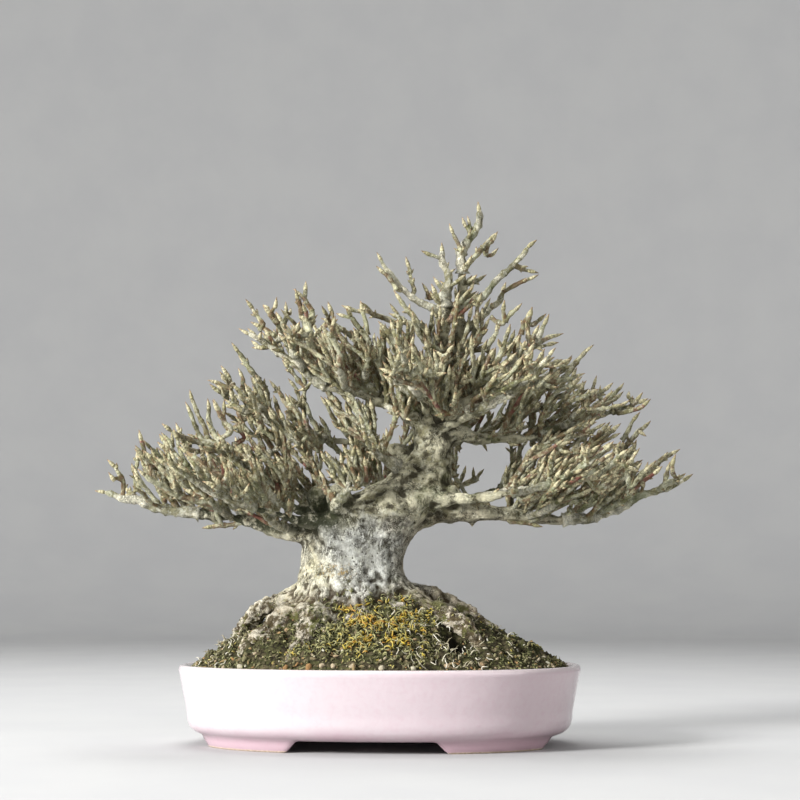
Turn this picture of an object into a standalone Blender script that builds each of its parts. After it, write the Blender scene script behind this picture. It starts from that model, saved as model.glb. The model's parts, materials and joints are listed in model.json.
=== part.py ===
"""Trident maple bonsai in winter, bare of leaves, in an oval glazed pot on four feet.

Run with: blender --background --python part.py
Sizes are in millimetres and become metres through MM. X runs along the pot's long side, the front is towards
-Y and Z is up from the surface that the pot stands on. Shapes are laid out round the pot's own middle, and
the whole object is then moved by SHIFT, which puts the middle of its box over the origin.
"""

import math
import random

import bmesh
import bpy
import numpy as np
from mathutils import Matrix, Vector

MM = 0.001
SHIFT = (-7.6, -8.9)

# The pot: an oval that narrows downwards, with a foot under each quarter. POT_SECTION goes round the wall's
# cross section as (distance in from the rim's outline, height), from the underside to the inner floor.
POT_LENGTH = 198.6
POT_DEPTH = 149.0
POT_SQUARENESS = 2.3
POT_STEPS = 40
UNDERSIDE = 7.0
INNER_FLOOR = 12.0
POT_SECTION = (
    (22.0, UNDERSIDE),
    (20.6, 0.6),
    (20.0, 0.0),
    (13.6, 0.0),
    (13.0, 0.6),
    (10.8, 5.8),
    (8.3, 6.8),
    (5.8, 9.0),
    (4.5, 12.3),
    (4.0, 17.4),
    (0.7, 34.0),
    (0.0, 37.0),
    (0.5, 38.6),
    (1.9, 39.2),
    (3.9, 38.8),
    (5.0, 37.4),
    (9.4, 15.5),
    (12.5, INNER_FLOOR),
)
GAP_HEIGHT = 5.8
FRONT_GAP = (32.5, 38.5)
END_GAP = (19.0, 26.0)

# Drainage: two holes in the pot's floor, each under a plastic screen that a wire clip holds.
DRAIN_X = 46.0
DRAIN_RADIUS = 7.5
SCREEN_SIDE = 26.0
SCREEN_THICKNESS = 1.2
SCREEN_CELLS = 4
SCREEN_BAR = 1.6
CLIP_RADIUS = 0.6
CLIP_HALF_SPAN = 3.25
CLIP_Y = 3.25
CLIP_LEG = 11.5

# What separates pieces that touch on the real thing.
GAP = 0.3

# The soil: filled to just under the rim and heaped up to the trunk. Its section is (distance in from the
# pot's inner wall, height) from the floor up to the edge.
SOIL_EDGE = 36.4
SOIL_RISE = 47.0
SOIL_CENTRE = (-9.0, 0.0)
SOIL_RINGS = 12
SOIL_STEPS = 40
SOIL_LUMP = 1.2
GRAIN_COUNT = 34
GRAIN_RADIUS = (1.3, 2.3)
GRAIN_SEED = 7

# The tree stands turned a little in its pot. Its own frame has x to the right, y away from the viewer and
# z up, with x = 0 and y = 0 over the pot's middle.
TREE_TURN = math.radians(5.7)
TREE_SEED = 41

# The trunk: (x, y, z, half width, half depth) of its sections, from the bottom to the sawn top.
TRUNK = (
    (-12, 0, 27, 22, 19),
    (-12, 0, 44, 34, 29),
    (-12, 0, 58, 38, 32),
    (-12, 0, 69, 33.5, 28.5),
    (-13, 0, 78, 29.5, 26),
    (-14, 0, 87, 26.5, 24),
    (-13, 0, 96, 28, 24.5),
    (-9, 0, 105, 30, 26),
    (-1, 0, 114, 29.5, 26),
    (8, 0, 122, 25.5, 22.5),
    (17, 1, 130, 18.5, 18),
    (23, 2, 138, 13.5, 13.5),
    (26, 2, 147, 11, 11.5),
    (26.5, 3, 155, 10.5, 11),
    (24.5, 3, 160.5, 8, 8.5),
)
TRUNK_STEPS = 16

# Surface roots, each as points (x, y, z, radius) from inside the trunk down into the soil.
ROOTS = (
    ((-26, 0, 70, 10), (-46, 1, 69, 8), (-59, 2, 66, 5.5), (-68, 3, 57, 5), (-76, 3, 44, 3.5), (-82, 4, 36, 2)),
    ((-26, -9, 66, 13), (-45, -17, 60, 10), (-59, -24, 51, 7.5), (-70, -30, 41, 5), (-76, -34, 33, 3)),
    ((-22, -14, 64, 13), (-33, -31, 56, 9.5), (-40, -44, 45, 6.5), (-44, -53, 34, 4)),
    ((-10, -14, 62, 13), (-9, -32, 53, 9.5), (-5, -45, 42, 6), (-1, -54, 32, 4)),
    ((2, -12, 64, 13), (15, -28, 56, 9.5), (24, -39, 47, 6.5), (31, -48, 35, 4.5)),
    ((8, -5, 68, 12), (30, -16, 62, 8), (42, -21, 57, 6.5), (47, -25, 47, 5.5), (49, -28, 36, 4)),
    ((10, 4, 71, 11), (28, 5, 70, 6.5), (41, 6, 65.5, 4.8), (53, 7, 58.5, 4.2), (64, 9, 49, 3.8), (76, 11, 36, 3)),
    ((4, 12, 66, 12), (24, 26, 58, 8.5), (39, 36, 49, 6), (51, 44, 36, 4)),
    ((-12, 13, 66, 12), (-14, 34, 57, 8.5), (-15, 48, 46, 6.5), (-16, 58, 35, 4)),
    ((-24, 10, 66, 13), (-43, 26, 57, 9), (-55, 36, 47, 6), (-64, 42, 35, 4)),
)

# Burls, sawn stubs and healed knobs: (x, y, z, radius).
LUMPS = (
    (6, -18, 116, 9),
    (-10, -19, 113, 8),
    (35, -7, 121, 7),
    (-24, -17, 106, 8.5),
    (-20, -18, 121, 7.5),
    (22, 12, 118, 8.5),
    (-16, 18, 110, 9),
    (-55, -4, 102.5, 3.6),
    (28, -8, 133, 6),
    (32, -2, 217.5, 4.4),
)

# Main limbs: points (x, y, z, radius). REACH says how far each one's side branches go.
LIMBS = {
    "leader": ((25, 3, 152, 8), (31, 4, 172, 6.2), (36, 5, 190, 5), (41, 5, 203, 4.2), (40, 5, 215, 3.8),
               (41.5, 4, 225, 3.4), (41.5, 3, 235, 3), (40, 3, 245, 2.6), (44, 3, 251.5, 2.1),
               (48, 3, 257, 1.8), (50, 3, 265, 1.5), (49.5, 3, 272.5, 0.2)),
    "knobbed": ((27, 1, 156, 6), (29, -1, 174, 4.6), (30.5, -2, 194, 4), (32, -2, 208, 3.8), (32, -2, 217, 3.6),
                (34.5, -2, 227, 2.2), (33.5, -2, 234, 1.7), (31, -3, 242, 1.4), (31, -3, 250, 0.2)),
    "top left": ((31, -2, 215, 3), (20, -3, 219, 2.3), (11, -4, 226, 1.9), (4, -5, 235, 1.5), (-1, -5, 245, 0.2)),
    "top right": ((41, 4, 218, 3), (51, 2, 223, 2.5), (57.5, 1, 231, 2.2), (66, 0, 238, 2), (71.5, 0, 243.5, 1.8),
                  (74, 0, 248, 1.6), (79, -1, 252.5, 0.2)),
    "right of top": ((42, 5, 204, 3), (51, 6, 213, 2.4), (61, 8, 222, 2), (63, 8, 227, 1.7), (64.5, 9, 232.5, 0.2)),
    "upper left": ((25, 1, 154, 6), (14, -5, 164, 4.6), (-1, -9, 169, 3.8), (-13, -12, 172, 3.4), (-27, -14, 175, 3.1),
                   (-38, -15, 184, 2.3), (-50, -16, 193, 1.9), (-60, -17, 200, 1.5), (-70, -18, 205, 0.2)),
    "upper left back": ((22, 6, 156, 5.5), (8, 16, 168, 4), (-8, 26, 177, 3), (-24, 34, 186, 2.3),
                        (-38, 40, 197, 1.7), (-50, 44, 207, 0.2)),
    "middle left": ((20, 4, 141, 7), (2, 12, 148, 4.4), (-17, 15, 151, 3.7), (-38, 17, 153, 3.2), (-56, 17, 161, 2.5),
                    (-68, 17, 170, 1.9), (-85, 16, 180, 0.2)),
    "low left": ((-18, -3, 104, 8.5), (-36, -4, 106, 5.2), (-50, -5, 107.5, 4.3), (-60, -6, 109.5, 3.9),
                 (-73, -7, 112.5, 3.4), (-90, -8, 115, 2.8), (-107, -8, 117, 2.4), (-121, -7, 121, 1.9),
                 (-132, -6, 123.5, 1.5), (-141.5, -6, 124.5, 0.2)),
    "low left front": ((-26, -12, 108, 7), (-44, -26, 111, 4), (-60, -39, 115, 3), (-76, -51, 121, 2.3),
                       (-90, -61, 129, 1.7), (-100, -69, 138, 0.2)),
    "low left back": ((-22, 12, 112, 7), (-40, 28, 116, 4.2), (-56, 42, 121, 3.2), (-72, 55, 128, 2.4),
                      (-86, 64, 137, 1.7), (-96, 70, 147, 0.2)),
    "low right": ((12, -1, 112, 11), (33, -3, 116, 8.2), (50, -5, 114.5, 5.6), (64, -6, 112.5, 4.6), (80, -6, 111, 3.5),
                  (100, -6, 111, 2.6), (117, -5, 115, 2.1), (130, -4, 122, 1.8), (144, -3, 125.5, 1.5),
                  (156, -2, 133, 0.2)),
    "low right front": ((26, -10, 120, 6), (46, -24, 121, 4), (64, -37, 122, 3), (82, -49, 127, 2.3),
                        (98, -60, 135, 1.7), (110, -68, 145, 0.2)),
    "low right back": ((18, 10, 119, 7), (38, 26, 122, 4.2), (58, 40, 125, 3.2), (78, 52, 131, 2.4),
                       (96, 61, 140, 1.7), (108, 67, 150, 0.2)),
    "back": ((0, 14, 116, 8), (2, 34, 122, 4.8), (6, 52, 126, 3.7), (10, 67, 133, 2.7), (12, 80, 143, 1.8),
             (13, 90, 155, 0.2)),
    "middle right": ((26, 3, 150, 7), (38, 1, 153.5, 5.4), (54, 4, 151.5, 4.6), (72, 7, 151.5, 3.6),
                     (90, 9, 157, 2.7), (110, 10, 163, 2), (136, 11, 172, 0.2)),
    "upper right": ((27, 1, 156, 5.5), (40, -7, 167, 4), (54, -11, 178, 3.3), (68, -13, 190, 2.5), (78, -14, 201, 1.8),
                    (84, -15, 213, 0.2)),
    "right fan": ((28, 4, 157, 5.5), (44, 12, 166, 4), (62, 19, 174, 3.2), (82, 23, 183, 2.4), (98, 25, 191, 1.7),
                  (108, 26, 199, 0.2)),
    "upper front": ((25, -2, 156, 5), (22, -20, 165, 3.6), (17, -38, 173, 2.8), (12, -56, 182, 2), (8, -72, 193, 0.2)),
    "front right": ((27, -2, 154, 5), (42, -22, 160, 3.4), (58, -40, 167, 2.6), (72, -56, 177, 1.8),
                    (82, -68, 189, 0.2)),
    "upper back": ((27, 6, 156, 5.5), (28, 26, 168, 4), (28, 44, 180, 3), (27, 60, 193, 2.1), (26, 72, 207, 0.2)),
    "middle back": ((26, 6, 148, 5.5), (40, 28, 152, 3.8), (52, 48, 158, 2.8), (62, 66, 167, 2), (68, 80, 178, 0.2)),
    "front stub": ((-14, -12, 112, 6), (-22, -26, 116, 3.6), (-17, -30, 123, 2.6), (-14, -33, 133, 1.9),
                   (-12, -36, 146, 0.2)),
    "front spray": ((14, -8, 132, 6), (2, -24, 140, 2.7), (-6, -34, 148, 1.9), (-10, -42, 160, 0.2)),
}
REACH = {
    "upper left": 26, "upper left back": 24, "middle left": 28, "low left": 34, "low left front": 22,
    "low left back": 26, "low right": 34, "low right front": 22, "low right back": 26, "back": 36,
    "middle right": 26, "upper right": 20, "right fan": 22, "upper front": 22, "front right": 18,
    "upper back": 26, "middle back": 20, "leader": 13, "knobbed": 12,
}

# Tips that the outline passes through, from the left round to the right: (x, y, z).
TIPS = (
    (-135, -9, 140.5), (-129.5, 2, 122.5), (-119, -12, 155), (-112, 6, 150), (-105.5, -4, 154), (-104, 10, 159.5),
    (-96, 4, 176), (-96.5, -12, 168.5), (-84, -20, 169.5), (-78.5, 0, 170.5), (-69.5, -28, 158), (-61, -24, 160),
    (-81, 10, 189), (-73.5, 22, 189.5), (-47, 6, 182), (-54.5, 24, 176), (-41.5, -2, 175.5),
    (-74.5, -10, 199), (-66.5, -24, 218.5), (-65, -8, 209), (-57.5, -20, 215), (-47.5, -8, 219), (-42.5, -20, 223.5),
    (-36.5, -12, 229), (-26, -22, 217), (-20, -4, 218), (-9.5, -14, 218.5), (-1, -20, 208.5), (4, -8, 218),
    (-2, -9, 237), (13, 2, 244), (7, -8, 225), (21, -6, 245.5), (21, 6, 230.5), (25, -10, 225), (28.5, 4, 224.5),
    (34.5, 6, 241.5), (35, -2, 259.5), (43.5, 5, 265.5), (59, 0, 255.5), (60, 8, 249), (80.5, 3, 234),
    (50, -4, 234.5), (53, 9, 236.5), (38.5, -10, 221.5),
    (62.5, -8, 219.5), (71.5, -18, 218.5), (76.5, -8, 216.5), (91, -8, 202.5), (86, -18, 190.5), (98, 16, 195.5),
    (110.5, 14, 184.5), (124, 12, 181), (132, 4, 175), (131, 0, 164.5), (135.5, -8, 159.5), (128.5, 8, 152),
    (121.5, -10, 149), (150, -6, 144.5), (140, 4, 137.5), (80.5, -10, 106.5), (112, -16, 158), (78.5, -20, 148),
)

# Clouds of further tips. Each is an ellipsoid: centre, half lengths along x, y and z, lean (how far it rises
# for each millimetre outwards along x) and how many tips it holds.
CLOUDS = (
    ((-84, -8, 137), (50, 48, 22), -0.10, 84),
    ((-50, 30, 142), (40, 42, 24), -0.10, 49),
    ((-58, 10, 168), (34, 34, 18), -0.25, 49),
    ((-32, -10, 200), (38, 32, 21), -0.15, 72),
    ((-20, 34, 200), (34, 26, 22), -0.15, 35),
    ((10, -6, 196), (24, 30, 24), 0.0, 49),
    ((26, -18, 178), (24, 44, 24), 0.0, 49),
    ((64, -6, 190), (34, 28, 22), -0.15, 64),
    ((92, 12, 176), (40, 34, 15), -0.10, 64),
    ((104, -6, 134), (46, 48, 19), 0.18, 78),
    ((66, 40, 145), (44, 40, 22), 0.05, 49),
    ((8, 72, 146), (38, 34, 26), 0.0, 49),
    ((32, 48, 184), (34, 32, 28), 0.0, 58),
    ((-16, -34, 140), (16, 12, 18), 0.0, 13),
    ((40, 2, 222), (20, 16, 24), 0.0, 23),
    ((-80, -54, 129), (24, 15, 13), -0.25, 18),
    ((92, -54, 135), (24, 15, 13), 0.30, 18),
    ((11, -54, 184), (15, 20, 11), 0.0, 15),
    ((70, -52, 181), (18, 16, 11), 0.25, 13),
)
TIP_SPACING = 6.4
TWIG_RADIUS = 1.0
PIPE_POWER = 0.29
STEP = 9.0
BUD_LENGTH = 6.0
BUD_RADIUS = 1.3
BEND_KEPT = 1.1
CLEARANCE = 2.2


def unit(v):
    v = np.asarray(v, dtype=float)
    return v / max(float(np.linalg.norm(v)), 1e-9)


def ease(points, step):
    """A curve through the points (Catmull and Rom's), as points about one step apart; other columns go along."""
    p = np.asarray(points, dtype=float)
    ends = np.vstack([2 * p[0] - p[1], p, 2 * p[-1] - p[-2]])
    out = [p[0]]
    for i in range(1, len(ends) - 2):
        a, b, c, d = ends[i - 1:i + 3]
        pieces = max(1, round(float(np.linalg.norm(c[:3] - b[:3])) / step))
        for k in range(1, pieces + 1):
            t = k / pieces
            out.append(0.5 * (2 * b + (c - a) * t + (2 * a - 5 * b + 4 * c - d) * t * t
                              + (3 * b - a - 3 * c + d) * t ** 3))
    return np.array(out)


class Skeleton:
    """Every stem's points, what each grows from, and the growing points that new ones can start at."""

    def __init__(self):
        self.stems = []
        self.place = np.zeros((0, 3))
        self.way = np.zeros((0, 3))
        self.owner = []
        self.filled = np.zeros((0, 3))

    def add(self, points, radii, parent, open_from, open_to):
        index = len(self.stems)
        points = np.asarray(points, dtype=float)
        self.stems.append({"points": points, "radii": radii, "parent": parent, "load": np.zeros(len(points))})
        ways = np.array([unit(points[min(i + 1, len(points) - 1)] - points[max(i - 1, 0)])
                         for i in range(len(points))])
        first = max(1, math.ceil(open_from * (len(points) - 1)))
        last = max(first, math.floor(open_to * (len(points) - 1)))
        self.place = np.vstack([self.place, points[first:last + 1]])
        self.way = np.vstack([self.way, ways[first:last + 1]])
        self.owner += [(index, i) for i in range(first, last + 1)]
        self.filled = np.vstack([self.filled, ease(points, 1.5)])
        return index

    def clear_of_others(self, points):
        """Whether a twig keeps CLEARANCE from all other stems, once it has left the one that it grows from."""
        line = ease(points, 1.5)
        free = line[np.linalg.norm(line - line[0], axis=1) > 3.5 * CLEARANCE]
        if not len(free):
            return True
        near = self.filled[np.linalg.norm(self.filled - line[0], axis=1) < np.linalg.norm(line[-1] - line[0]) + 9]
        gaps = np.linalg.norm(free[:, None, :] - near[None, :, :], axis=2)
        return not len(near) or float(gaps.min()) > CLEARANCE

    def start_for(self, tip, growth):
        """The growing point that a twig to the tip starts at: near, and with the tip above and outside it."""
        v = tip - self.place
        far = np.linalg.norm(v, axis=1) + 1e-6
        along = (v @ growth) / far
        onward = np.einsum("ij,ij->i", v, self.way) / far
        cost = far * (1 + 1.1 * (1 - along) + 0.35 * (1 - onward)) + 60 * (far < 4)
        return int(np.argmin(cost))


def growth_way(tip):
    """Up and outwards from the trunk's line, more upwards near the top."""
    out = np.array([tip[0] - 26 * min(1, tip[2] / 160), tip[1], 0.0])
    reach = float(np.linalg.norm(out))
    return unit(out / max(reach, 1e-6) * min(1.0, reach / 70) + np.array([0, 0, 0.9]))


def twig_points(start, way, tip, growth, rng, step):
    """A bent line from start to tip, leaving along a mix of the parent's way and its own, wavering a little."""
    far = float(np.linalg.norm(tip - start))
    aim = unit(tip - start)
    a = start + unit(0.5 * way + aim) * far * 0.35
    b = tip - unit(growth + 0.6 * aim) * far * 0.35
    count = max(2, round(far / step))
    out = []
    for k in range(count + 1):
        t = k / count
        p = (1 - t) ** 3 * start + 3 * t * (1 - t) ** 2 * a + 3 * t * t * (1 - t) * b + t ** 3 * tip
        if 0 < k < count:
            p = p + np.array([rng.gauss(0, 0.05), rng.gauss(0, 0.05), rng.gauss(0, 0.05)]) * min(far / count, 9)
        out.append(p)
    return np.array(out)


def cloud_tips(rng, fixed):
    """Tips scattered through the clouds, none nearer to another than TIP_SPACING."""
    taken = [np.array(t, dtype=float) for t in fixed]
    made = []
    for (cx, cy, cz), (hx, hy, hz), lean, count in CLOUDS:
        placed = 0
        for _ in range(count * 30):
            if placed == count:
                break
            q = np.array([rng.gauss(0, 1), rng.gauss(0, 1), rng.gauss(0, 1)])
            q = unit(q) * rng.uniform(0.15, 1.0) ** (1 / 2.2)
            p = np.array([cx + q[0] * hx, cy + q[1] * hy, cz + q[2] * hz + lean * q[0] * hx])
            if min(float(np.linalg.norm(p - t)) for t in taken) < TIP_SPACING:
                continue
            taken.append(p)
            made.append(p)
            placed += 1
    return made


def grow():
    """The whole tree's stems: limbs, their side branches, then a twig to every tip, the nearest tips first."""
    rng = random.Random(TREE_SEED)
    tree = Skeleton()
    limbs = {}
    for name, line in LIMBS.items():
        line = ease(line, STEP)
        limbs[name] = tree.add(line[:, :3], np.maximum(line[:, 3], 0.2), None, 0.3, 0.93)
    for name, reach in REACH.items():
        stem = tree.stems[limbs[name]]
        points = stem["points"]
        side = rng.choice((-1, 1))
        for i in range(3, len(points) - 2, 2):
            share = i / (len(points) - 1)
            way = unit(points[i + 1] - points[i - 1])
            across = unit(np.cross(way, (0, 0, 1))) * side
            side = -side
            length = reach * (1.15 - 0.75 * share) * rng.uniform(0.85, 1.15)
            end = points[i] + (across * 0.85 + way * 0.6 + np.array([0, 0, 0.35])) * length
            line = twig_points(points[i], way, end, growth_way(end), rng, STEP)
            tree.add(line, None, (limbs[name], i), 0.25, 0.8)
    tips = [np.array(t, dtype=float) for t in TIPS] + cloud_tips(rng, TIPS)
    order = sorted(tips, key=lambda t: float(np.min(np.linalg.norm(tree.place - t, axis=1))))
    for tip in order:
        growth = growth_way(tip)
        k = tree.start_for(tip, growth)
        line = twig_points(tree.place[k], tree.way[k], tip, growth, rng, STEP)
        if tree.clear_of_others(line):
            tree.add(line, None, tree.owner[k], 0.3, 0.7)
    for stem in reversed(tree.stems):
        stem["load"] = stem["load"] + 1
        if stem["parent"]:
            tree.stems[stem["parent"][0]]["load"][:stem["parent"][1] + 1] += stem["load"][0]
    for stem in tree.stems:
        if stem["radii"] is None:
            stem["radii"] = TWIG_RADIUS * stem["load"] ** PIPE_POWER
    return tree.stems


def clear():
    for ob in list(bpy.data.objects):
        bpy.data.objects.remove(ob, do_unlink=True)


def collection(name):
    found = bpy.data.collections.new(name)
    bpy.context.scene.collection.children.link(found)
    return found


def material(name, colour, roughness):
    made = bpy.data.materials.new(name)
    made.use_nodes = True
    shader = made.node_tree.nodes["Principled BSDF"]
    shader.inputs["Base Color"].default_value = (*colour, 1)
    shader.inputs["Roughness"].default_value = roughness
    return made


def mesh_object(name, points, faces, home):
    """An object from points in millimetres."""
    mesh = bpy.data.meshes.new(name)
    mesh.from_pydata([tuple(c * MM for c in p) for p in points], [], faces)
    mesh.update()
    made = bpy.data.objects.new(name, mesh)
    home.objects.link(made)
    return made


def shape(name, bm, home):
    mesh = bpy.data.meshes.new(name)
    bm.to_mesh(mesh)
    bm.free()
    made = bpy.data.objects.new(name, mesh)
    home.objects.link(made)
    return made


def rings_object(name, rings, home):
    """A closed body through rings of points of one length, with a flat face at each end."""
    n = len(rings[0])
    points = [p for ring in rings for p in ring]
    faces = [list(range(n))[::-1], [len(points) - n + i for i in range(n)]]
    for r in range(len(rings) - 1):
        for i in range(n):
            j = (i + 1) % n
            faces.append([r * n + i, r * n + j, (r + 1) * n + j, (r + 1) * n + i])
    return mesh_object(name, points, faces, home)


def cutter(ob):
    ob.hide_render = True
    ob.display_type = "WIRE"
    return ob


def boolean(target, operation, tool, solver="EXACT"):
    """A Boolean with one object or a whole collection, applied at once. The tools are removed."""
    modifier = target.modifiers.new(operation.title(), "BOOLEAN")
    modifier.operation = operation
    modifier.solver = solver
    if isinstance(tool, bpy.types.Collection):
        modifier.operand_type = "COLLECTION"
        modifier.collection = tool
        spent = list(tool.objects)
    else:
        modifier.object = tool
        spent = [tool]
    graph = bpy.context.evaluated_depsgraph_get()
    graph.update()
    mesh = bpy.data.meshes.new_from_object(target.evaluated_get(graph))
    target.modifiers.clear()
    target.data = mesh
    for ob in spent:
        bpy.data.objects.remove(ob, do_unlink=True)


def whole(target, merge, flatten=True):
    """Merges points that nearly coincide, and keeps the largest shell: no scrap and no sealed hollow stays."""
    bm = bmesh.new()
    bm.from_mesh(target.data)
    before = len(bm.faces)
    if flatten:
        bmesh.ops.dissolve_limit(bm, angle_limit=math.radians(0.5), verts=bm.verts, edges=bm.edges)
    bmesh.ops.triangulate(bm, faces=bm.faces)
    if merge:
        bmesh.ops.remove_doubles(bm, verts=bm.verts, dist=merge)
        bmesh.ops.dissolve_degenerate(bm, edges=bm.edges, dist=merge)
        bmesh.ops.triangulate(bm, faces=bm.faces)
    shells = shells_of(bm)
    spare = [face for shell in shells[1:] for face in shell]
    bmesh.ops.delete(bm, geom=spare, context="FACES")
    bmesh.ops.delete(bm, geom=[v for v in bm.verts if not v.link_faces], context="VERTS")
    open_edges = sum(len(edge.link_faces) != 2 for edge in bm.edges)
    bm.to_mesh(target.data)
    bm.free()
    print(target.name, "shells", len(shells), "triangles", before, "to", len(target.data.polygons),
          "open edges", open_edges)


def lighten(target, most, is_kept):
    """Joins the smallest facets, mostly slivers where stems meet, until no more than the given count are left.

    Points that is_kept picks out by their place in millimetres stay as they are.
    """
    count = len(target.data.polygons)
    if count <= most:
        return
    group = target.vertex_groups.new(name="lightened")
    group.add([v.index for v in target.data.vertices if not is_kept(v.co / MM)], 1.0, "REPLACE")
    modifier = target.modifiers.new("Lighten", "DECIMATE")
    modifier.decimate_type = "COLLAPSE"
    modifier.ratio = most / count
    modifier.vertex_group = group.name
    graph = bpy.context.evaluated_depsgraph_get()
    graph.update()
    mesh = bpy.data.meshes.new_from_object(target.evaluated_get(graph))
    target.modifiers.clear()
    target.vertex_groups.clear()
    target.data = mesh


def in_trunk(p):
    """Whether a point lies on the trunk or below the limbs."""
    if p[2] < 96:
        return True
    for x, y, z, half, deep in TRUNK:
        if z >= p[2]:
            middle = turned((x, y, z))
            return math.hypot(p[0] - middle[0], p[1] - middle[1]) < half + 3
    return False


def shells_of(bm):
    """The separate closed surfaces of a mesh, the one with most faces first."""
    left = set(bm.faces)
    shells = []
    while left:
        front = [left.pop()]
        shell = []
        while front:
            face = front.pop()
            shell.append(face)
            for edge in face.edges:
                for other in edge.link_faces:
                    if other in left:
                        left.remove(other)
                        front.append(other)
        shells.append(shell)
    return sorted(shells, key=len, reverse=True)


def oval(inset, z, steps=POT_STEPS):
    """The pot's outline in plan, drawn in by inset, as a squared ellipse."""
    out = []
    for i in range(steps):
        a = 2 * math.pi * i / steps
        c, s = math.cos(a), math.sin(a)
        x = math.copysign(abs(c) ** (2 / POT_SQUARENESS), c) * (POT_LENGTH / 2 - inset)
        y = math.copysign(abs(s) ** (2 / POT_SQUARENESS), s) * (POT_DEPTH / 2 - inset)
        out.append((x, y, z))
    return out


def prism(name, corners, half_length, along, home):
    """A cutter with the given (across, height) corners, running along x or y."""
    rings = []
    for end in (half_length, -half_length):
        rings.append([(end, a, z) if along == "x" else (a, end, z) for a, z in corners])
    return cutter(rings_object(name, rings, home))


def cylinder(name, radius, x, bottom, top, home):
    bm = bmesh.new()
    bmesh.ops.create_cone(bm, cap_ends=True, segments=20, radius1=radius * MM, radius2=radius * MM,
                          depth=(top - bottom) * MM,
                          matrix=Matrix.Translation((x * MM, 0, (top + bottom) / 2 * MM)))
    return shape(name, bm, home)


def box(name, size, middle, home):
    bm = bmesh.new()
    bmesh.ops.create_cube(bm, size=1, matrix=Matrix.Translation(Vector(middle) * MM)
                          @ Matrix.Diagonal((*[s * MM for s in size], 1)))
    return shape(name, bm, home)


def make_pot(home, tools):
    pot = rings_object("pot", [oval(inset, z) for inset, z in POT_SECTION], home)
    for (top, foot), along, half in ((FRONT_GAP, "y", POT_DEPTH), (END_GAP, "x", POT_LENGTH)):
        lean = (foot - top) / GAP_HEIGHT
        corners = [(-foot - lean, -1), (foot + lean, -1), (top, GAP_HEIGHT), (-top, GAP_HEIGHT)]
        boolean(pot, "DIFFERENCE", prism("gap", corners, half, along, tools))
    for x in (-DRAIN_X, DRAIN_X):
        boolean(pot, "DIFFERENCE", cutter(cylinder("drain", DRAIN_RADIUS, x, UNDERSIDE - 2, INNER_FLOOR + 2, tools)))
    whole(pot, 1e-6)
    return pot


def make_screen(name, x, home, tools):
    """A square plastic screen with open cells, lying on the floor of the pot."""
    screen = box(name, (SCREEN_SIDE, SCREEN_SIDE, SCREEN_THICKNESS),
                 (x, 0, INNER_FLOOR + GAP + SCREEN_THICKNESS / 2), home)
    pitch = SCREEN_SIDE / SCREEN_CELLS
    cells = bmesh.new()
    for i in range(SCREEN_CELLS):
        for j in range(SCREEN_CELLS):
            at = Vector((x + (i - (SCREEN_CELLS - 1) / 2) * pitch, (j - (SCREEN_CELLS - 1) / 2) * pitch, INNER_FLOOR))
            side = (pitch - SCREEN_BAR) * MM
            bmesh.ops.create_cube(cells, size=1, matrix=Matrix.Translation(at * MM)
                                  @ Matrix.Diagonal((side, side, 10 * MM, 1)))
    boolean(screen, "DIFFERENCE", cutter(shape("cells", cells, tools)))
    whole(screen, 1e-6)
    return screen


def profile_curve(sides, tools):
    """A regular polygon of radius 1, for stems to be drawn along."""
    curve = bpy.data.curves.new(f"profile {sides}", "CURVE")
    curve.dimensions = "2D"
    spline = curve.splines.new("POLY")
    spline.points.add(sides - 1)
    for i, point in enumerate(spline.points):
        a = 2 * math.pi * i / sides
        point.co = (math.cos(a), math.sin(a), 0, 1)
    spline.use_cyclic_u = True
    made = bpy.data.objects.new(curve.name, curve)
    tools.objects.link(made)
    return made


def draw_stem(name, points, radii, profile, home, roll=0.0):
    """A curve along the points (in millimetres) that the profile is drawn along, thinner with the radii."""
    curve = bpy.data.curves.new(name, "CURVE")
    curve.dimensions = "3D"
    curve.use_fill_caps = True
    curve.bevel_mode = "OBJECT"
    curve.bevel_object = profile
    spline = curve.splines.new("POLY")
    spline.points.add(len(points) - 1)
    for point, co, radius in zip(spline.points, points, radii):
        point.co = (*[c * MM for c in co], 1)
        point.radius = radius * MM
        point.tilt = roll
    made = bpy.data.objects.new(name, curve)
    home.objects.link(made)
    return made


def solid_stems(home):
    """Makes every curve of a collection a closed mesh."""
    drawn = [ob for ob in home.objects if ob.type == "CURVE"]
    graph = bpy.context.evaluated_depsgraph_get()
    graph.update()
    for ob in drawn:
        mesh = bpy.data.meshes.new_from_object(ob.evaluated_get(graph))
        bm = bmesh.new()
        bm.from_mesh(mesh)
        bmesh.ops.remove_doubles(bm, verts=bm.verts, dist=1e-6)
        bmesh.ops.dissolve_degenerate(bm, edges=bm.edges, dist=1e-6)
        bmesh.ops.recalc_face_normals(bm, faces=bm.faces)
        bm.to_mesh(mesh)
        bm.free()
        name = ob.name
        bpy.data.objects.remove(ob, do_unlink=True)
        home.objects.link(bpy.data.objects.new(name, mesh))


def make_clip(name, x, home, profile):
    """A wire bent down through the screen and the drain hole, and outwards under the pot."""
    low = UNDERSIDE - GAP - CLIP_RADIUS
    high = INNER_FLOOR + 2 * GAP + SCREEN_THICKNESS + CLIP_RADIUS
    h = CLIP_HALF_SPAN
    path = [(-h - CLIP_LEG, low), (-h - 0.8, low), (-h, low + 0.8), (-h, high - 0.8), (-h + 0.8, high)]
    path += [(-across, z) for across, z in reversed(path)]
    points = [(x + across, CLIP_Y, z) for across, z in path]
    draw_stem(name, points, [CLIP_RADIUS] * len(points), profile, home)
    solid_stems(home)
    return home.objects[name]


def turned(p):
    """From the tree's own frame to the pot's."""
    c, s = math.cos(TREE_TURN), math.sin(TREE_TURN)
    return (p[0] * c - p[1] * s, p[0] * s + p[1] * c, p[2])


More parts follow.
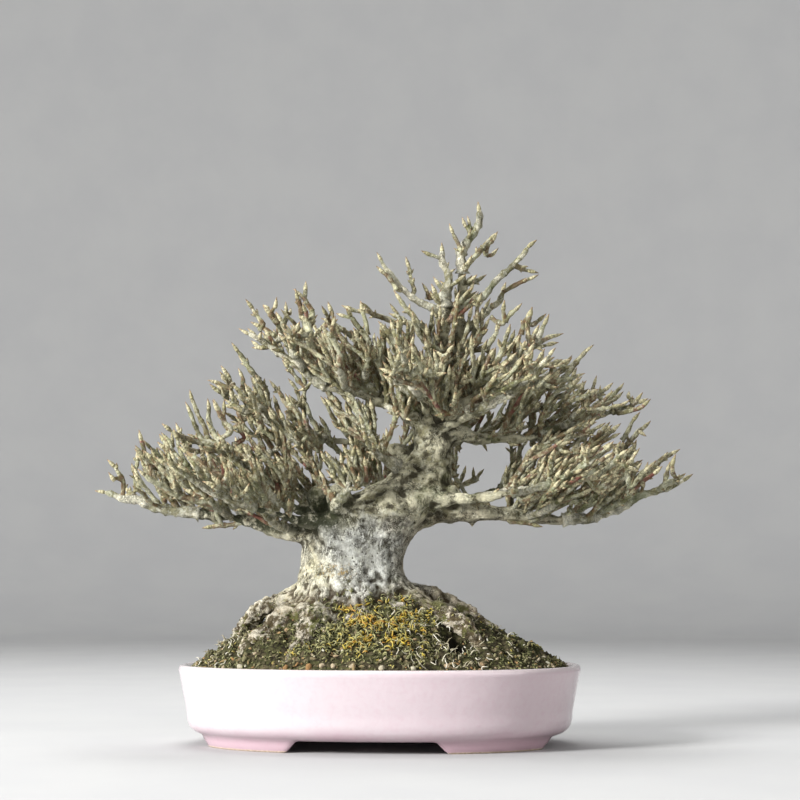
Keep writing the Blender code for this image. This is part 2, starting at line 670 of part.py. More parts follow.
def trunk_ring(index, grow_by=0.0):
    """One section of the trunk: an ellipse that swells and flutes with the angle, more so near the ground."""
    x, y, z, half, deep = TRUNK[index]
    flute = 1.6 if z > 75 else 2.6
    out = []
    for i in range(TRUNK_STEPS):
        a = 2 * math.pi * i / TRUNK_STEPS
        swell = flute * math.sin(3 * a + 0.9 + z * 0.021) * 0.6 + flute * math.sin(5 * a + z * 0.05) * 0.5
        wide = half + swell * min(1, half / 20) + grow_by
        out.append(turned((x + math.cos(a) * wide, y + math.sin(a) * (wide - half + deep), z)))
    return out


def trunk_object(name, home, grow_by=0.0):
    rings = [trunk_ring(i, grow_by) for i in range(len(TRUNK))]
    if grow_by:
        rings[0] = [(x, y, z - grow_by) for x, y, z in rings[0]]
        rings = rings[:7]
    return rings_object(name, rings, home)


def root_points(line, grow_by=0.0):
    points = [turned(p[:3]) for p in line]
    radii = [p[3] + grow_by / math.cos(math.pi / 6) for p in line]
    if grow_by:
        way = unit(np.array(points[-1]) - np.array(points[-2]))
        points[-1] = tuple(np.array(points[-1]) + way * grow_by)
    return points, radii


def sides_for(radius):
    return 3 if radius < 1.75 else 4 if radius < 3.2 else 5 if radius < 5.4 else 6


def make_tree(home, tools, profiles, rng):
    """The tree as one grown body: trunk, surface roots, burls, limbs and twigs, joined at once."""
    tree = trunk_object("tree", home)
    parts = collection("stems")
    for i, line in enumerate(ROOTS):
        points, radii = root_points(line)
        draw_stem(f"root {i}", points, radii, profiles[6], parts)
    for i, (x, y, z, radius) in enumerate(LUMPS):
        bm = bmesh.new()
        bmesh.ops.create_icosphere(bm, subdivisions=1, radius=radius * MM,
                                   matrix=Matrix.Translation(Vector(turned((x, y, z))) * MM)
                                   @ Matrix.Rotation(rng.uniform(0, 3), 4, "X"))
        shape(f"lump {i}", bm, parts)
    for i, stem in enumerate(grow()):
        points = stem["points"]
        radii = np.array(stem["radii"], dtype=float)
        points, radii = budded(points, radii)
        draw_stem(f"stem {i}", [turned(p) for p in points], radii, profiles[sides_for(radii[0])], parts,
                  rng.uniform(0, 3))
    solid_stems(parts)
    print("stems", len(parts.objects), "raw", sum(len(o.data.polygons) for o in parts.objects))
    boolean(tree, "UNION", parts, "MANIFOLD")
    bpy.data.collections.remove(parts)
    whole(tree, 2e-6)
    lighten(tree, 11900, in_trunk)
    whole(tree, 2e-6)
    return tree


def budded(points, radii):
    """Ends a twig in a pointed bud: it swells a little where the bud sits, and comes to a point at the tip."""
    tip = points[-1]
    way = unit(tip - points[-2])
    bud = tip - way * min(BUD_LENGTH, 0.5 * float(np.linalg.norm(tip - points[0])))
    body = [points[0]] + [p for p in points[1:-1] if (tip - p) @ way > BUD_LENGTH * 1.3] + [bud]
    sizes = [float(r) for r in radii[:len(body) - 1]] + [BUD_RADIUS]
    keep = bends(body, sizes)
    out = [body[i] for i in keep] + [bud, tip]
    return np.array(out), np.array([max(sizes[i], 0.9) for i in keep] + [BUD_RADIUS, 0.0])


def bends(points, sizes):
    """Which points are worth keeping: the first, and those where the line bends or narrows enough to be seen."""
    keep = [0]
    for i in range(1, len(points) - 1):
        a, b, c = points[keep[-1]], points[i], points[i + 1]
        far = float(np.linalg.norm(c - a))
        share = float(np.linalg.norm(b - a)) / far
        off = np.linalg.norm(np.cross(b - a, unit(c - a)))
        thinner = abs(sizes[i] - sizes[keep[-1]] * (1 - share) - sizes[i + 1] * share)
        if off + 2 * thinner > BEND_KEPT:
            keep.append(i)
    return keep


def make_soil(home, tools, profiles, rng):
    """Soil from the pot's floor up to a mound with a lumpy surface, hollowed for the tree's base and screens."""
    wall = [(inset, z) for inset, z in POT_SECTION[14:]]

    def inset_at(z):
        for (i0, z0), (i1, z1) in zip(wall, wall[1:]):
            if z1 <= z <= z0:
                return i0 + (i1 - i0) * (z0 - z) / (z0 - z1)
        return wall[-1][0]

    floor = INNER_FLOOR + GAP
    rings = [oval(inset_at(z) + GAP * 1.2, max(z, floor), SOIL_STEPS) for z in (INNER_FLOOR, 15.5, 26.0, SOIL_EDGE)]
    phases = [rng.uniform(0, 6.28) for _ in range(12)]
    for k in range(1, SOIL_RINGS):
        inward = k / SOIL_RINGS
        ring = []
        for x, y, z in oval(inset_at(SOIL_EDGE) + GAP, SOIL_EDGE, SOIL_STEPS):
            px = x + (SOIL_CENTRE[0] - x) * inward
            py = y + (SOIL_CENTRE[1] - y) * inward
            ring.append((px, py, surface_height(px, py, inward, phases)))
        rings.append(ring)
    soil = rings_object("soil", rings, home)
    grains = collection("grains")
    outline = oval(inset_at(SOIL_EDGE) + GAP, SOIL_EDGE, 720)
    for i in range(GRAIN_COUNT):
        x, y, _ = outline[rng.randrange(720)]
        inward = rng.uniform(0.10, 0.34)
        radius = rng.uniform(*GRAIN_RADIUS)
        px = x + (SOIL_CENTRE[0] - x) * inward
        py = y + (SOIL_CENTRE[1] - y) * inward
        pz = surface_height(px, py, inward, phases)
        bm = bmesh.new()
        bmesh.ops.create_icosphere(bm, subdivisions=1, radius=radius * MM,
                                   matrix=Matrix.Translation(Vector((px, py, pz)) * MM)
                                   @ Matrix.Rotation(rng.uniform(0, 3), 4, "X")
                                   @ Matrix.Diagonal((1.15, 0.9, 0.8, 1)))
        shape(f"grain {i}", bm, grains)
    boolean(soil, "UNION", grains, "MANIFOLD")
    bpy.data.collections.remove(grains)
    hollow = collection("hollow")
    cutter(trunk_object("trunk hole", hollow, GAP * 1.3))
    for i, line in enumerate(ROOTS):
        points, radii = root_points(line, GAP * 1.3)
        draw_stem(f"root hole {i}", points, radii, profiles[6], hollow)
    solid_stems(hollow)
    for x in (-DRAIN_X, DRAIN_X):
        top = INNER_FLOOR + 3 * GAP + SCREEN_THICKNESS + 2 * CLIP_RADIUS
        side = SCREEN_SIDE + 2 * GAP
        cutter(box("recess", (side, side, top - INNER_FLOOR + 2), (x, 0, (top + INNER_FLOOR - 2) / 2), hollow))
    boolean(soil, "DIFFERENCE", hollow, "MANIFOLD")
    bpy.data.collections.remove(hollow)
    whole(soil, 0, flatten=False)
    return soil


def surface_height(x, y, inward, phases):
    """The mound: steep near the trunk and near the rim, with lumps made of crossed waves."""
    z = SOIL_EDGE + SOIL_RISE * (0.72 * inward + 0.28 * inward ** 0.6)
    lump = 0.0
    for i in range(0, 12, 2):
        a = phases[i]
        wave = 0.28 + 0.07 * i
        lump += math.sin((x * math.cos(a) + y * math.sin(a)) * wave + phases[i + 1])
    return z + SOIL_LUMP * lump / 2.2 * min(1, 6 * inward)


def main():
    clear()
    home = collection("trident_maple_bonsai")
    tools = collection("cutters")
    profiles = {sides: profile_curve(sides, tools) for sides in (3, 4, 5, 6)}
    nodes = [
        (make_pot(home, tools), material("glaze", (0.86, 0.72, 0.74), 0.15)),
        (make_tree(home, tools, profiles, random.Random(TREE_SEED + 1)), material("bark", (0.42, 0.38, 0.28), 0.8)),
        (make_soil(home, tools, profiles, random.Random(GRAIN_SEED)), material("soil", (0.17, 0.14, 0.08), 0.95)),
    ]
    for side, x in (("left", -DRAIN_X), ("right", DRAIN_X)):
        nodes.append((make_screen(f"drain_screen_{side}", x, home, tools), material("screen", (0.05, 0.06, 0.05), 0.6)))
        nodes.append((make_clip(f"screen_clip_{side}", x, home, profiles[6]), material("wire", (0.6, 0.6, 0.6), 0.35)))
    for ob, look in nodes:
        ob.data.materials.clear()
        ob.data.materials.append(look)
        ob.data.transform(Matrix.Translation((SHIFT[0] * MM, SHIFT[1] * MM, 0)))
    for profile in profiles.values():
        bpy.data.objects.remove(profile, do_unlink=True)


main()
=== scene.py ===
"""A trident maple bonsai in winter: bark, twigs, buds, moss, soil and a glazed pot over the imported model.

Run as a script in Blender. Shapes are worked out in millimetres in the tree's own frame or the pot's frame,
and go into the meshes in metres, in the row's frame.
"""

import functools
import json
import math
import random

import bpy
import numpy as np
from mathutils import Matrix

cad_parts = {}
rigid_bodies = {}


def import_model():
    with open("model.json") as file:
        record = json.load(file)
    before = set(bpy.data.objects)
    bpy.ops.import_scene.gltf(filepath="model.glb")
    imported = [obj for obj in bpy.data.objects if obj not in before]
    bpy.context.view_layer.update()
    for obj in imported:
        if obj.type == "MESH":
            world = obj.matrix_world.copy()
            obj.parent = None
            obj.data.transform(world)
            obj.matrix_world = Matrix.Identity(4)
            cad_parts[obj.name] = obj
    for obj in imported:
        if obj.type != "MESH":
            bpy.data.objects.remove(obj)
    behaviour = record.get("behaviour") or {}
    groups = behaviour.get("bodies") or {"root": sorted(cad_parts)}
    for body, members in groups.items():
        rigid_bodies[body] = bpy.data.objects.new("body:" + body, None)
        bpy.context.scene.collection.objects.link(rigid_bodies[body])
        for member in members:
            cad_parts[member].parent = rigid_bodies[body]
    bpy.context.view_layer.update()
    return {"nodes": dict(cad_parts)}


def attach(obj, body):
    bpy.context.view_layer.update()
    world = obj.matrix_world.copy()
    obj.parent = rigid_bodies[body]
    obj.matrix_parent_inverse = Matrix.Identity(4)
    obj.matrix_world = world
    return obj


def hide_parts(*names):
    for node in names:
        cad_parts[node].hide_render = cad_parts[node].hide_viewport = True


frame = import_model()

bl_info = {
    "name": "Trident Maple Bonsai",
    "version": (1, 0, 0),
    "blender": (4, 5, 0),
    "location": "3D View > Sidebar > Bonsai",
    "description": "Builds a bare trident maple bonsai in an oval glazed pot",
    "category": "Add Mesh",
}

MM = 0.001
SHIFT = (-7.6, -8.9, 0.0)
TREE_TURN = math.radians(5.7)

# The pot. Section points are (distance in from the rim's outline, height), from under the floor round to
# its top.
POT_LENGTH = 198.6
POT_DEPTH = 149.0
POT_SQUARENESS = 2.3
UNDERSIDE = 7.0
INNER_FLOOR = 12.0
GAP_HEIGHT = 5.8
FRONT_GAP = (32.5, 38.5)
END_GAP = (19.0, 26.0)
DRAIN_X = 46.0
DRAIN_RADIUS = 7.5
FOOT_SECTION = ((22.0, 7.0), (21.4, 3.6), (20.6, 0.6), (20.0, 0.0), (16.8, 0.0), (13.6, 0.0), (13.0, 0.6),
                (12.0, 3.1), (10.8, 5.8))
WALL_SECTION = ((10.8, 5.8), (8.3, 6.8), (5.8, 9.0), (4.5, 12.3), (4.0, 17.4), (2.9, 23.0), (1.7, 29.0),
                (0.7, 34.0), (0.0, 37.0), (0.5, 38.6), (1.9, 39.2), (3.9, 38.8), (5.0, 37.4), (6.9, 28.0),
                (9.4, 15.5), (12.5, 12.0))

# The soil's mound.
SOIL_EDGE = 36.4
SOIL_RISE = 47.0
SOIL_CENTRE = (-9.0, 0.0)
SOIL_LUMP = 1.2
SOIL_INSET = 5.6
SOIL_WALL = ((11.0, 14.2), (10.3, 15.5), (8.0, 26.0))
EDGE_STEPS = 2880
GRAIN_SEED = 7

# The hollow in the mound in front of a root, on the right: centre (x, y), half widths and depth.
HOLLOW = (40.0, -37.0, 6.5, 8.0, 16.0)

# Where large grains lie along the front of the rim.
RIM_GRAINS = (-62, -39, -27, -20.5, -15, -5.5, 9, 24, 41, 58)

TREE_SEED = 41
SHOOT_SEED = 12

# The camera, in the tree's frame (millimetres), with its rise in degrees and its lens.
CAMERA_PLACE = (10.0, -990.0, 81.0)
CAMERA_RISE = 5.17
CAMERA_LENS = 89.1

# The trunk: (x, y, z, half width, half depth) of its sections, from the bottom to the sawn top.
TRUNK = (
    (-12, 0, 27, 22, 19),
    (-12, 0, 44, 34, 29),
    (-12, 0, 58, 38, 32),
    (-12, 0, 69, 33.5, 28.5),
    (-13, 0, 78, 29.5, 26),
    (-13.5, 0, 87, 25.8, 24),
    (-12, 0, 96, 26.6, 24.5),
    (-8.5, 0, 105, 29.4, 26),
    (-1, 0, 114, 29.5, 26),
    (8, 0, 122, 25.5, 22.5),
    (17, 1, 130, 18.5, 18),
    (23, 2, 138, 13.5, 13.5),
    (26, 2, 147, 11, 11.5),
    (26.5, 3, 155, 10.5, 11),
    (24.5, 3, 160.5, 8, 8.5),
)
TRUNK_SIDES = 96

# Surface roots, each as points (x, y, z, radius) from inside the trunk down into the soil.
ROOTS = (
    ((-26, 0, 70, 10), (-46, 1, 69, 8), (-59, 2, 66, 5.5), (-68, 3, 57, 5), (-76, 3, 44, 3.5),
     (-82, 4, 36, 2)),
    ((-26, -9, 66, 13), (-45, -17, 60, 10), (-59, -24, 51, 7.5), (-70, -30, 41, 5), (-76, -34, 33, 3)),
    ((-22, -14, 64, 13), (-33, -31, 56, 9.5), (-40, -44, 45, 6.5), (-44, -53, 34, 4)),
    ((-10, -14, 62, 13), (-9, -32, 53, 9.5), (-5, -45, 42, 6), (-1, -54, 32, 4)),
    ((2, -12, 64, 13), (15, -28, 56, 9.5), (24, -39, 47, 6.5), (31, -48, 35, 4.5)),
    ((8, -5, 68, 12), (29, -19, 63, 7.5), (40, -31, 60, 5.4), (46, -38, 52, 4.8), (49, -42, 38, 4)),
    ((10, 4, 71, 11), (28, 5, 70, 6.5), (41, 6, 65.5, 4.8), (53, 7, 58.5, 4.2), (64, 9, 49, 3.8),
     (76, 11, 36, 3)),
    ((4, 12, 66, 12), (24, 26, 58, 8.5), (39, 36, 49, 6), (51, 44, 36, 4)),
    ((-12, 13, 66, 12), (-14, 34, 57, 8.5), (-15, 48, 46, 6.5), (-16, 58, 35, 4)),
    ((-24, 10, 66, 13), (-43, 26, 57, 9), (-55, 36, 47, 6), (-64, 42, 35, 4)),
)

# Burls, sawn stubs and healed knobs: (x, y, z, radius).
LUMPS = (
    (6, -18, 116, 9),
    (-10, -19, 113, 8),
    (35, -7, 121, 7),
    (-24, -17, 106, 8.5),
    (-20, -18, 121, 7.5),
    (22, 12, 118, 8.5),
    (-16, 18, 110, 9),
    (-55, -4, 104.2, 3.6),
    (28, -8, 133, 6),
    (32, -2, 217.5, 4.4),
    (-30, 0, 121.5, 8),
    (46, -5, 108.3, 2.6),
)

# Main limbs: points (x, y, z, radius). REACH says how far each one's side branches go.
LIMBS = {
    "leader": ((25, 3, 152, 8), (31, 4, 172, 6.2), (36, 5, 190, 5), (41, 5, 203, 4.2), (40, 5, 215, 3.8),
               (41.5, 4, 225, 3.4), (41.5, 3, 235, 3), (40, 3, 245, 2.6), (44, 3, 251.5, 2.1),
               (48, 3, 257, 1.8), (50, 3, 265, 1.5), (49.5, 3, 272.5, 0.2)),
    "knobbed": ((27, 1, 156, 6), (29, -1, 174, 4.6), (30.5, -2, 194, 4), (32, -2, 208, 3.8),
                (32, -2, 217, 3.6), (34.5, -2, 227, 2.2), (33.5, -2, 234, 1.7), (31, -3, 242, 1.4),
                (31, -3, 250, 0.2)),
    "top left": ((31, -2, 215, 3), (20, -3, 219, 2.3), (11, -4, 226, 1.9), (4, -5, 235, 1.5),
                 (-1, -5, 245, 0.2)),
    "top right": ((41, 4, 218, 3), (51, 2, 223, 2.5), (57.5, 1, 231, 2.2), (66, 0, 238, 2),
                  (71.5, 0, 243.5, 1.8), (74, 0, 248, 1.6), (79, -1, 252.5, 0.2)),
    "right of top": ((42, 5, 204, 3), (51, 6, 213, 2.4), (61, 8, 222, 2), (63, 8, 227, 1.7),
                     (64.5, 9, 232.5, 0.2)),
    "upper left": ((25, 1, 154, 6), (14, -5, 164, 4.6), (-1, -9, 169, 3.8), (-13, -12, 172, 3.4),
                   (-27, -14, 175, 3.1), (-38, -15, 184, 2.3), (-50, -16, 193, 1.9), (-60, -17, 200, 1.5),
                   (-70, -18, 205, 0.2)),
    "upper left back": ((22, 6, 156, 5.5), (8, 16, 168, 4), (-8, 26, 177, 3), (-24, 34, 186, 2.3),
                        (-38, 40, 197, 1.7), (-50, 44, 207, 0.2)),
    "middle left": ((20, 4, 141, 7), (2, 12, 148, 4.4), (-17, 15, 151, 3.7), (-38, 17, 153, 3.2),
                    (-56, 17, 161, 2.5), (-68, 17, 170, 1.9), (-85, 16, 180, 0.2)),
    "low left": ((-18, -3, 104, 8.5), (-36, -4, 103.4, 6.4), (-50, -5, 105, 5.5), (-60, -6, 107.6, 4.4),
                 (-73, -7, 111.2, 3.6), (-90, -8, 113.8, 3.0), (-107, -8, 115.9, 2.6),
                 (-121, -7, 119.8, 2.0), (-132, -6, 122.6, 1.5), (-141.5, -6, 124, 0.2)),
    "low left front": ((-26, -12, 108, 7), (-44, -26, 111, 4), (-60, -39, 115, 3), (-76, -51, 121, 2.3),
                       (-90, -61, 129, 1.7), (-100, -69, 138, 0.2)),
    "low left back": ((-22, 12, 112, 7), (-40, 28, 116, 4.2), (-56, 42, 121, 3.2), (-72, 55, 128, 2.4),
                      (-86, 64, 137, 1.7), (-96, 70, 147, 0.2)),
    "low right": ((12, -1, 112, 11), (33, -3, 116, 8.2), (50, -5, 114.5, 5.6), (64, -6, 112.5, 4.6),
                  (80, -6, 111, 3.5), (100, -6, 111, 2.6), (117, -5, 115, 2.1), (130, -4, 122, 1.8),
                  (144, -3, 125.5, 1.5), (156, -2, 133, 0.2)),
    "low right front": ((26, -10, 120, 6), (46, -24, 121, 4), (64, -37, 122, 3), (82, -49, 127, 2.3),
                        (98, -60, 135, 1.7), (110, -68, 145, 0.2)),
    "low right back": ((18, 10, 119, 7), (38, 26, 122, 4.2), (58, 40, 125, 3.2), (78, 52, 131, 2.4),
                       (96, 61, 140, 1.7), (108, 67, 150, 0.2)),
    "back": ((0, 14, 116, 8), (2, 34, 122, 4.8), (6, 52, 126, 3.7), (10, 67, 133, 2.7), (12, 80, 143, 1.8),
             (13, 90, 155, 0.2)),
    "middle right": ((26, 3, 150, 7), (38, 1, 153.5, 5.4), (54, 4, 151.5, 4.6), (72, 7, 151.5, 3.6),
                     (90, 9, 157, 2.7), (110, 10, 163, 2), (136, 11, 172, 0.2)),
    "upper right": ((27, 1, 156, 5.5), (40, -7, 167, 4), (54, -11, 178, 3.3), (68, -13, 190, 2.5),
                    (78, -14, 201, 1.8), (84, -15, 213, 0.2)),
    "right fan": ((28, 4, 157, 5.5), (44, 12, 166, 4), (62, 19, 174, 3.2), (82, 23, 183, 2.4),
                  (98, 25, 191, 1.7), (108, 26, 199, 0.2)),
    "upper front": ((25, -2, 156, 5), (22, -20, 165, 3.6), (17, -38, 173, 2.8), (12, -56, 182, 2),
                    (8, -72, 193, 0.2)),
    "front right": ((27, -2, 154, 5), (42, -22, 160, 3.4), (58, -40, 167, 2.6), (72, -56, 177, 1.8),
                    (82, -68, 189, 0.2)),
    "upper back": ((27, 6, 156, 5.5), (28, 26, 168, 4), (28, 44, 180, 3), (27, 60, 193, 2.1),
                   (26, 72, 207, 0.2)),
    "middle back": ((26, 6, 148, 5.5), (40, 28, 152, 3.8), (52, 48, 158, 2.8), (62, 66, 167, 2),
                    (68, 80, 178, 0.2)),
    "front stub": ((-14, -12, 112, 6), (-22, -26, 116, 3.6), (-17, -30, 123, 2.6), (-14, -33, 133, 1.9),
                   (-12, -36, 146, 0.2)),
    "front spray": ((14, -8, 132, 6), (2, -24, 140, 2.7), (-6, -34, 148, 1.9), (-10, -42, 160, 0.2)),
}
REACH = {
    "upper left": 26, "upper left back": 24, "middle left": 28, "low left": 34, "low left front": 22,
    "low left back": 26, "low right": 34, "low right front": 22, "low right back": 26, "back": 36,
    "middle right": 26, "upper right": 20, "right fan": 22, "upper front": 22, "front right": 18,
    "upper back": 26, "middle back": 20, "leader": 13, "knobbed": 12,
}

# Tips that the outline passes through, from the left round to the right: (x, y, z).
TIPS = (
    (-135, -9, 140.5), (-129.5, 2, 122.5), (-119, -12, 155), (-112, 6, 150), (-105.5, -4, 154),
    (-104, 10, 159.5), (-96, 4, 176), (-96.5, -12, 168.5), (-84, -20, 169.5), (-78.5, 0, 170.5),
    (-69.5, -28, 158), (-61, -24, 160), (-81, 10, 189), (-73.5, 22, 189.5), (-47, 6, 182), (-54.5, 24, 176),
    (-41.5, -2, 175.5), (-74.5, -10, 199), (-66.5, -24, 218.5), (-65, -8, 209), (-57.5, -20, 215),
    (-47.5, -8, 219), (-42.5, -20, 223.5), (-36.5, -12, 229), (-26, -22, 217), (-20, -4, 218),
    (-9.5, -14, 218.5), (-1, -20, 208.5), (4, -8, 218), (-2, -9, 237), (13, 2, 244), (7, -8, 225),
    (21, -6, 245.5), (21, 6, 230.5), (25, -10, 225), (28.5, 4, 224.5), (34.5, 6, 241.5), (35, -2, 259.5),
    (43.5, 5, 265.5), (59, 0, 255.5), (60, 8, 249), (80.5, 3, 234), (50, -4, 234.5), (53, 9, 236.5),
    (38.5, -10, 221.5), (62.5, -8, 219.5), (71.5, -18, 218.5), (76.5, -8, 216.5), (91, -8, 202.5),
    (86, -18, 190.5), (98, 16, 195.5), (110.5, 14, 184.5), (124, 12, 181), (132, 4, 175), (131, 0, 164.5),
    (135.5, -8, 159.5), (128.5, 8, 152), (121.5, -10, 149), (150, -6, 144.5), (140, 4, 137.5),
    (80.5, -10, 106.5), (112, -16, 158), (78.5, -20, 148),
)

# Clouds of further tips. Each is an ellipsoid: centre, half lengths along x, y and z, lean (how far it rises
# for each millimetre outwards along x) and how many tips it holds.
CLOUDS = (
    ((-84, -8, 137), (50, 48, 22), -0.10, 84),
    ((-50, 30, 142), (40, 42, 24), -0.10, 49),
    ((-58, 10, 168), (34, 34, 18), -0.25, 49),
    ((-32, -10, 200), (38, 32, 21), -0.15, 72),
    ((-20, 34, 200), (34, 26, 22), -0.15, 35),
    ((10, -6, 196), (24, 30, 24), 0.0, 49),
    ((26, -18, 178), (24, 44, 24), 0.0, 49),
    ((64, -6, 190), (34, 28, 22), -0.15, 64),
    ((92, 12, 176), (40, 34, 15), -0.10, 64),
    ((104, -6, 134), (46, 48, 19), 0.18, 78),
    ((66, 40, 145), (44, 40, 22), 0.05, 49),
    ((8, 72, 146), (38, 34, 26), 0.0, 49),
    ((32, 48, 184), (34, 32, 28), 0.0, 58),
    ((-16, -34, 140), (16, 12, 18), 0.0, 13),
    ((40, 2, 222), (20, 16, 24), 0.0, 23),
    ((-80, -54, 129), (24, 15, 13), -0.25, 18),
    ((92, -54, 135), (24, 15, 13), 0.30, 18),
    ((11, -54, 184), (15, 20, 11), 0.0, 15),
    ((70, -52, 181), (18, 16, 11), 0.25, 13),
)

# Clouds for shoots alone, where the photo shows twigs between the limbs.
GAP_CLOUDS = (
    ((-16, -6, 170), (22, 16, 9), 0.0, 26),
    ((100, -4, 152), (30, 26, 10), 0.25, 34),
    ((-26, -8, 130), (15, 13, 12), 0.0, 22),
)

# Shoots on the outline, where the photo shows which way they run: (x, z) of the tip, (x, z) of the foot,
# and y.
DRAWN_SHOOTS = (
    (-96.2, 176, -87.5, 154, 4), (-96.5, 168.5, -88, 150, -12), (-84, 169.5, -83, 153, -20),
    (-78.5, 170.5, -76, 155, 0), (-86, 180.5, -75, 176, -4), (-81, 189, -75.5, 177, 10),
    (-73.5, 189.5, -70, 178, 22), (-74.5, 199, -61, 178, -10), (-71, 193, -60, 176, -4),
    (-66.5, 218.5, -57, 206, -24), (-42.5, 223.5, -40, 211, -20), (-9.5, 218.5, -6.5, 203, -14),
    (-2, 237, 9, 226.5, -9), (-135, 140.5, -126.5, 129, -9), (-119, 155, -114, 136, -12),
    (-104, 159.5, -97, 147, 10), (44, 265.5, 44.5, 255, 5), (41.5, 264, 44, 257, 3),
    (35, 259.5, 40.5, 246, -2), (59, 255.5, 51.5, 246, 0), (60, 249, 53.5, 244.5, 8),
    (51.5, 246.5, 43, 240, 1), (80.5, 235.8, 68, 237.6, 3), (13, 244, 17, 226, 2), (21, 230.5, 25, 222, 6),
    (107.5, 198.5, 90, 183, -8), (110.5, 184.5, 107, 174, 14), (124, 181, 114, 171, 12),
    (132, 175, 124, 165, 4), (136, 171.5, 126, 165, 2), (131, 164.5, 121, 152, 0),
    (150, 144.5, 134, 136.5, -6), (80.5, 106.5, 63, 108.8, -10), (62.5, 219.5, 61.5, 208, -8),
    (76.5, 216.5, 72, 205, -8), (-88, 106.3, -66, 107.8, -8), (71.5, 218.2, 63, 209.3, -7),
    (58, 208.7, 55, 198.4, -12), (83.5, 213, 77, 207.5, -4), (88.4, 201.8, 78.6, 199, -8),
    (38.5, 221.9, 36, 202.4, -16), (6.9, 224.8, 19, 205.3, -10), (4.3, 217.6, 9.8, 209.3, -16),
    (-105, 154, -104.6, 146.8, 2), (-80.7, 168.3, -73, 153, -26), (-69.7, 158.3, -67, 150, -20),
    (-133.8, 133.4, -129, 129, -12),
)

# The gap that can be seen through between two of the right side's limbs: lowest and highest x, then z.
SEEN_THROUGH = (39, 65, 127, 141.5)

# The least gap between two tips, the radius of a twig with one tip and the power of its number of tips that
# makes a stem thicker, the steps that stems are drawn in, and how clear of each other they keep.
TIP_SPACING = 6.4
TWIG_RADIUS = 1.0
PIPE_POWER = 0.29
STEP = 9.0
CLEARANCE = 2.2

# The trunk's line leans to this x at this height, and goes straight up from there.
LEAN = 26
LEAN_HEIGHT = 160

# Twigs that start above TOP_FROM are in the top piece, and the others in the one on their side of MIDDLE.
TOP_FROM = 168
MIDDLE = 10

# A limb is under the trunk's skin while its radius is over THICK_LIMB; a stem over THICK_TWIG isn't a twig.
THICK_LIMB = 3.0
THICK_TWIG = 1.75

# How far, how slowly and by which salt all lines of the tree wander.
WANDER = 1.1
WANDER_SCALE = 8.0
WANDER_SALT = 101

# A stem's numbers of rings, the spacing of its nodes, and the length of its end bud.
RING_COUNTS = (5, 7, 9, 11, 14, 18, 23, 30, 40, 56, 76)
NODE_SPACING = 5.6
BUD_LENGTH = 6.0
BUD_CUT = 0.75 * BUD_LENGTH
BUD_SEAT = 0.72

# The lights: name, place, size and power. All shine at AIM.
LIGHTS = (
    ("key", (-1.62, -1.4, 0.85), 0.62, 106),
    ("fill", (0.95, -0.7, 0.45), 0.8, 4),
    ("top", (-0.1, 0.35, 1.25), 0.7, 14),
)
AIM = (0, 0, 0.12)
SKY = (0.93, 0.96, 1.0, 1)
SKY_STRENGTH = 0.22

# The floor: the radii of its flat rings, where its bend starts, the bend's radius and the wall's heights.
FLOOR_SIDES = 96
FLOOR_RINGS = (0.02, 0.3, 0.8, 1.3)
FLOOR_RADIUS = 1.7
FLOOR_BEND = 0.7
WALL_HEIGHTS = (1.4, 2.4)


def unit(v):
    """The vector made of length one."""
    v = np.asarray(v, dtype=float)
    return v / max(float(np.linalg.norm(v)), 1e-9)


def ease(points, step):
    """A curve through the points (Catmull and Rom's), as points about one step apart; other columns go
    along."""
    p = np.asarray(points, dtype=float)
    ends = np.vstack([2 * p[0] - p[1], p, 2 * p[-1] - p[-2]])
    out = [p[0]]
    for i in range(1, len(ends) - 2):
        a, b, c, d = ends[i - 1:i + 3]
        pieces = max(1, round(float(np.linalg.norm(c[:3] - b[:3])) / step))
        for k in range(1, pieces + 1):
            t = k / pieces
            out.append(0.5 * (2 * b + (c - a) * t + (2 * a - 5 * b + 4 * c - d) * t * t
                              + (3 * b - a - 3 * c + d) * t ** 3))
    return np.array(out)


class Skeleton:
    """Every stem's points, what each grows from, and the growing points that new ones can start at."""

    def __init__(self):
        self.stems = []
        self.place = np.zeros((0, 3))
        self.way = np.zeros((0, 3))
        self.owner = []
        self.filled = np.zeros((0, 3))

    def add(self, points, radii, parent, open_from, open_to):
        """Adds a stem, which others may start at between two shares of its way."""
        index = len(self.stems)
        points = np.asarray(points, dtype=float)
        self.stems.append({"points": points, "radii": radii, "parent": parent, "load": np.zeros(len(points))})
        ways = np.array([unit(points[min(i + 1, len(points) - 1)] - points[max(i - 1, 0)])
                         for i in range(len(points))])
        first = max(1, math.ceil(open_from * (len(points) - 1)))
        last = max(first, math.floor(open_to * (len(points) - 1)))
        self.place = np.vstack([self.place, points[first:last + 1]])
        self.way = np.vstack([self.way, ways[first:last + 1]])
        self.owner += [(index, i) for i in range(first, last + 1)]
        self.filled = np.vstack([self.filled, ease(points, 1.5)])
        return index

    def clear_of_others(self, points, clearance=CLEARANCE):
        """Whether a twig keeps its clearance from all other stems, once it has left the one that it grows
        from."""
        line = ease(points, 1.5)
        free = line[np.linalg.norm(line - line[0], axis=1) > 3.5 * clearance]
        if not len(free):
            return True
        reach = np.linalg.norm(line[-1] - line[0]) + 9
        near = self.filled[np.linalg.norm(self.filled - line[0], axis=1) < reach]
        gaps = np.linalg.norm(free[:, None, :] - near[None, :, :], axis=2)
        return not len(near) or float(gaps.min()) > clearance

    def start_for(self, tip, growth):
        """The growing point that a twig to the tip starts at: near, and with the tip above and outside it."""
        v = tip - self.place
        far = np.linalg.norm(v, axis=1) + 1e-6
        along = (v @ growth) / far
        onward = np.einsum("ij,ij->i", v, self.way) / far
        cost = far * (1 + 1.1 * (1 - along) + 0.35 * (1 - onward)) + 60 * (far < 4)
        return int(np.argmin(cost))


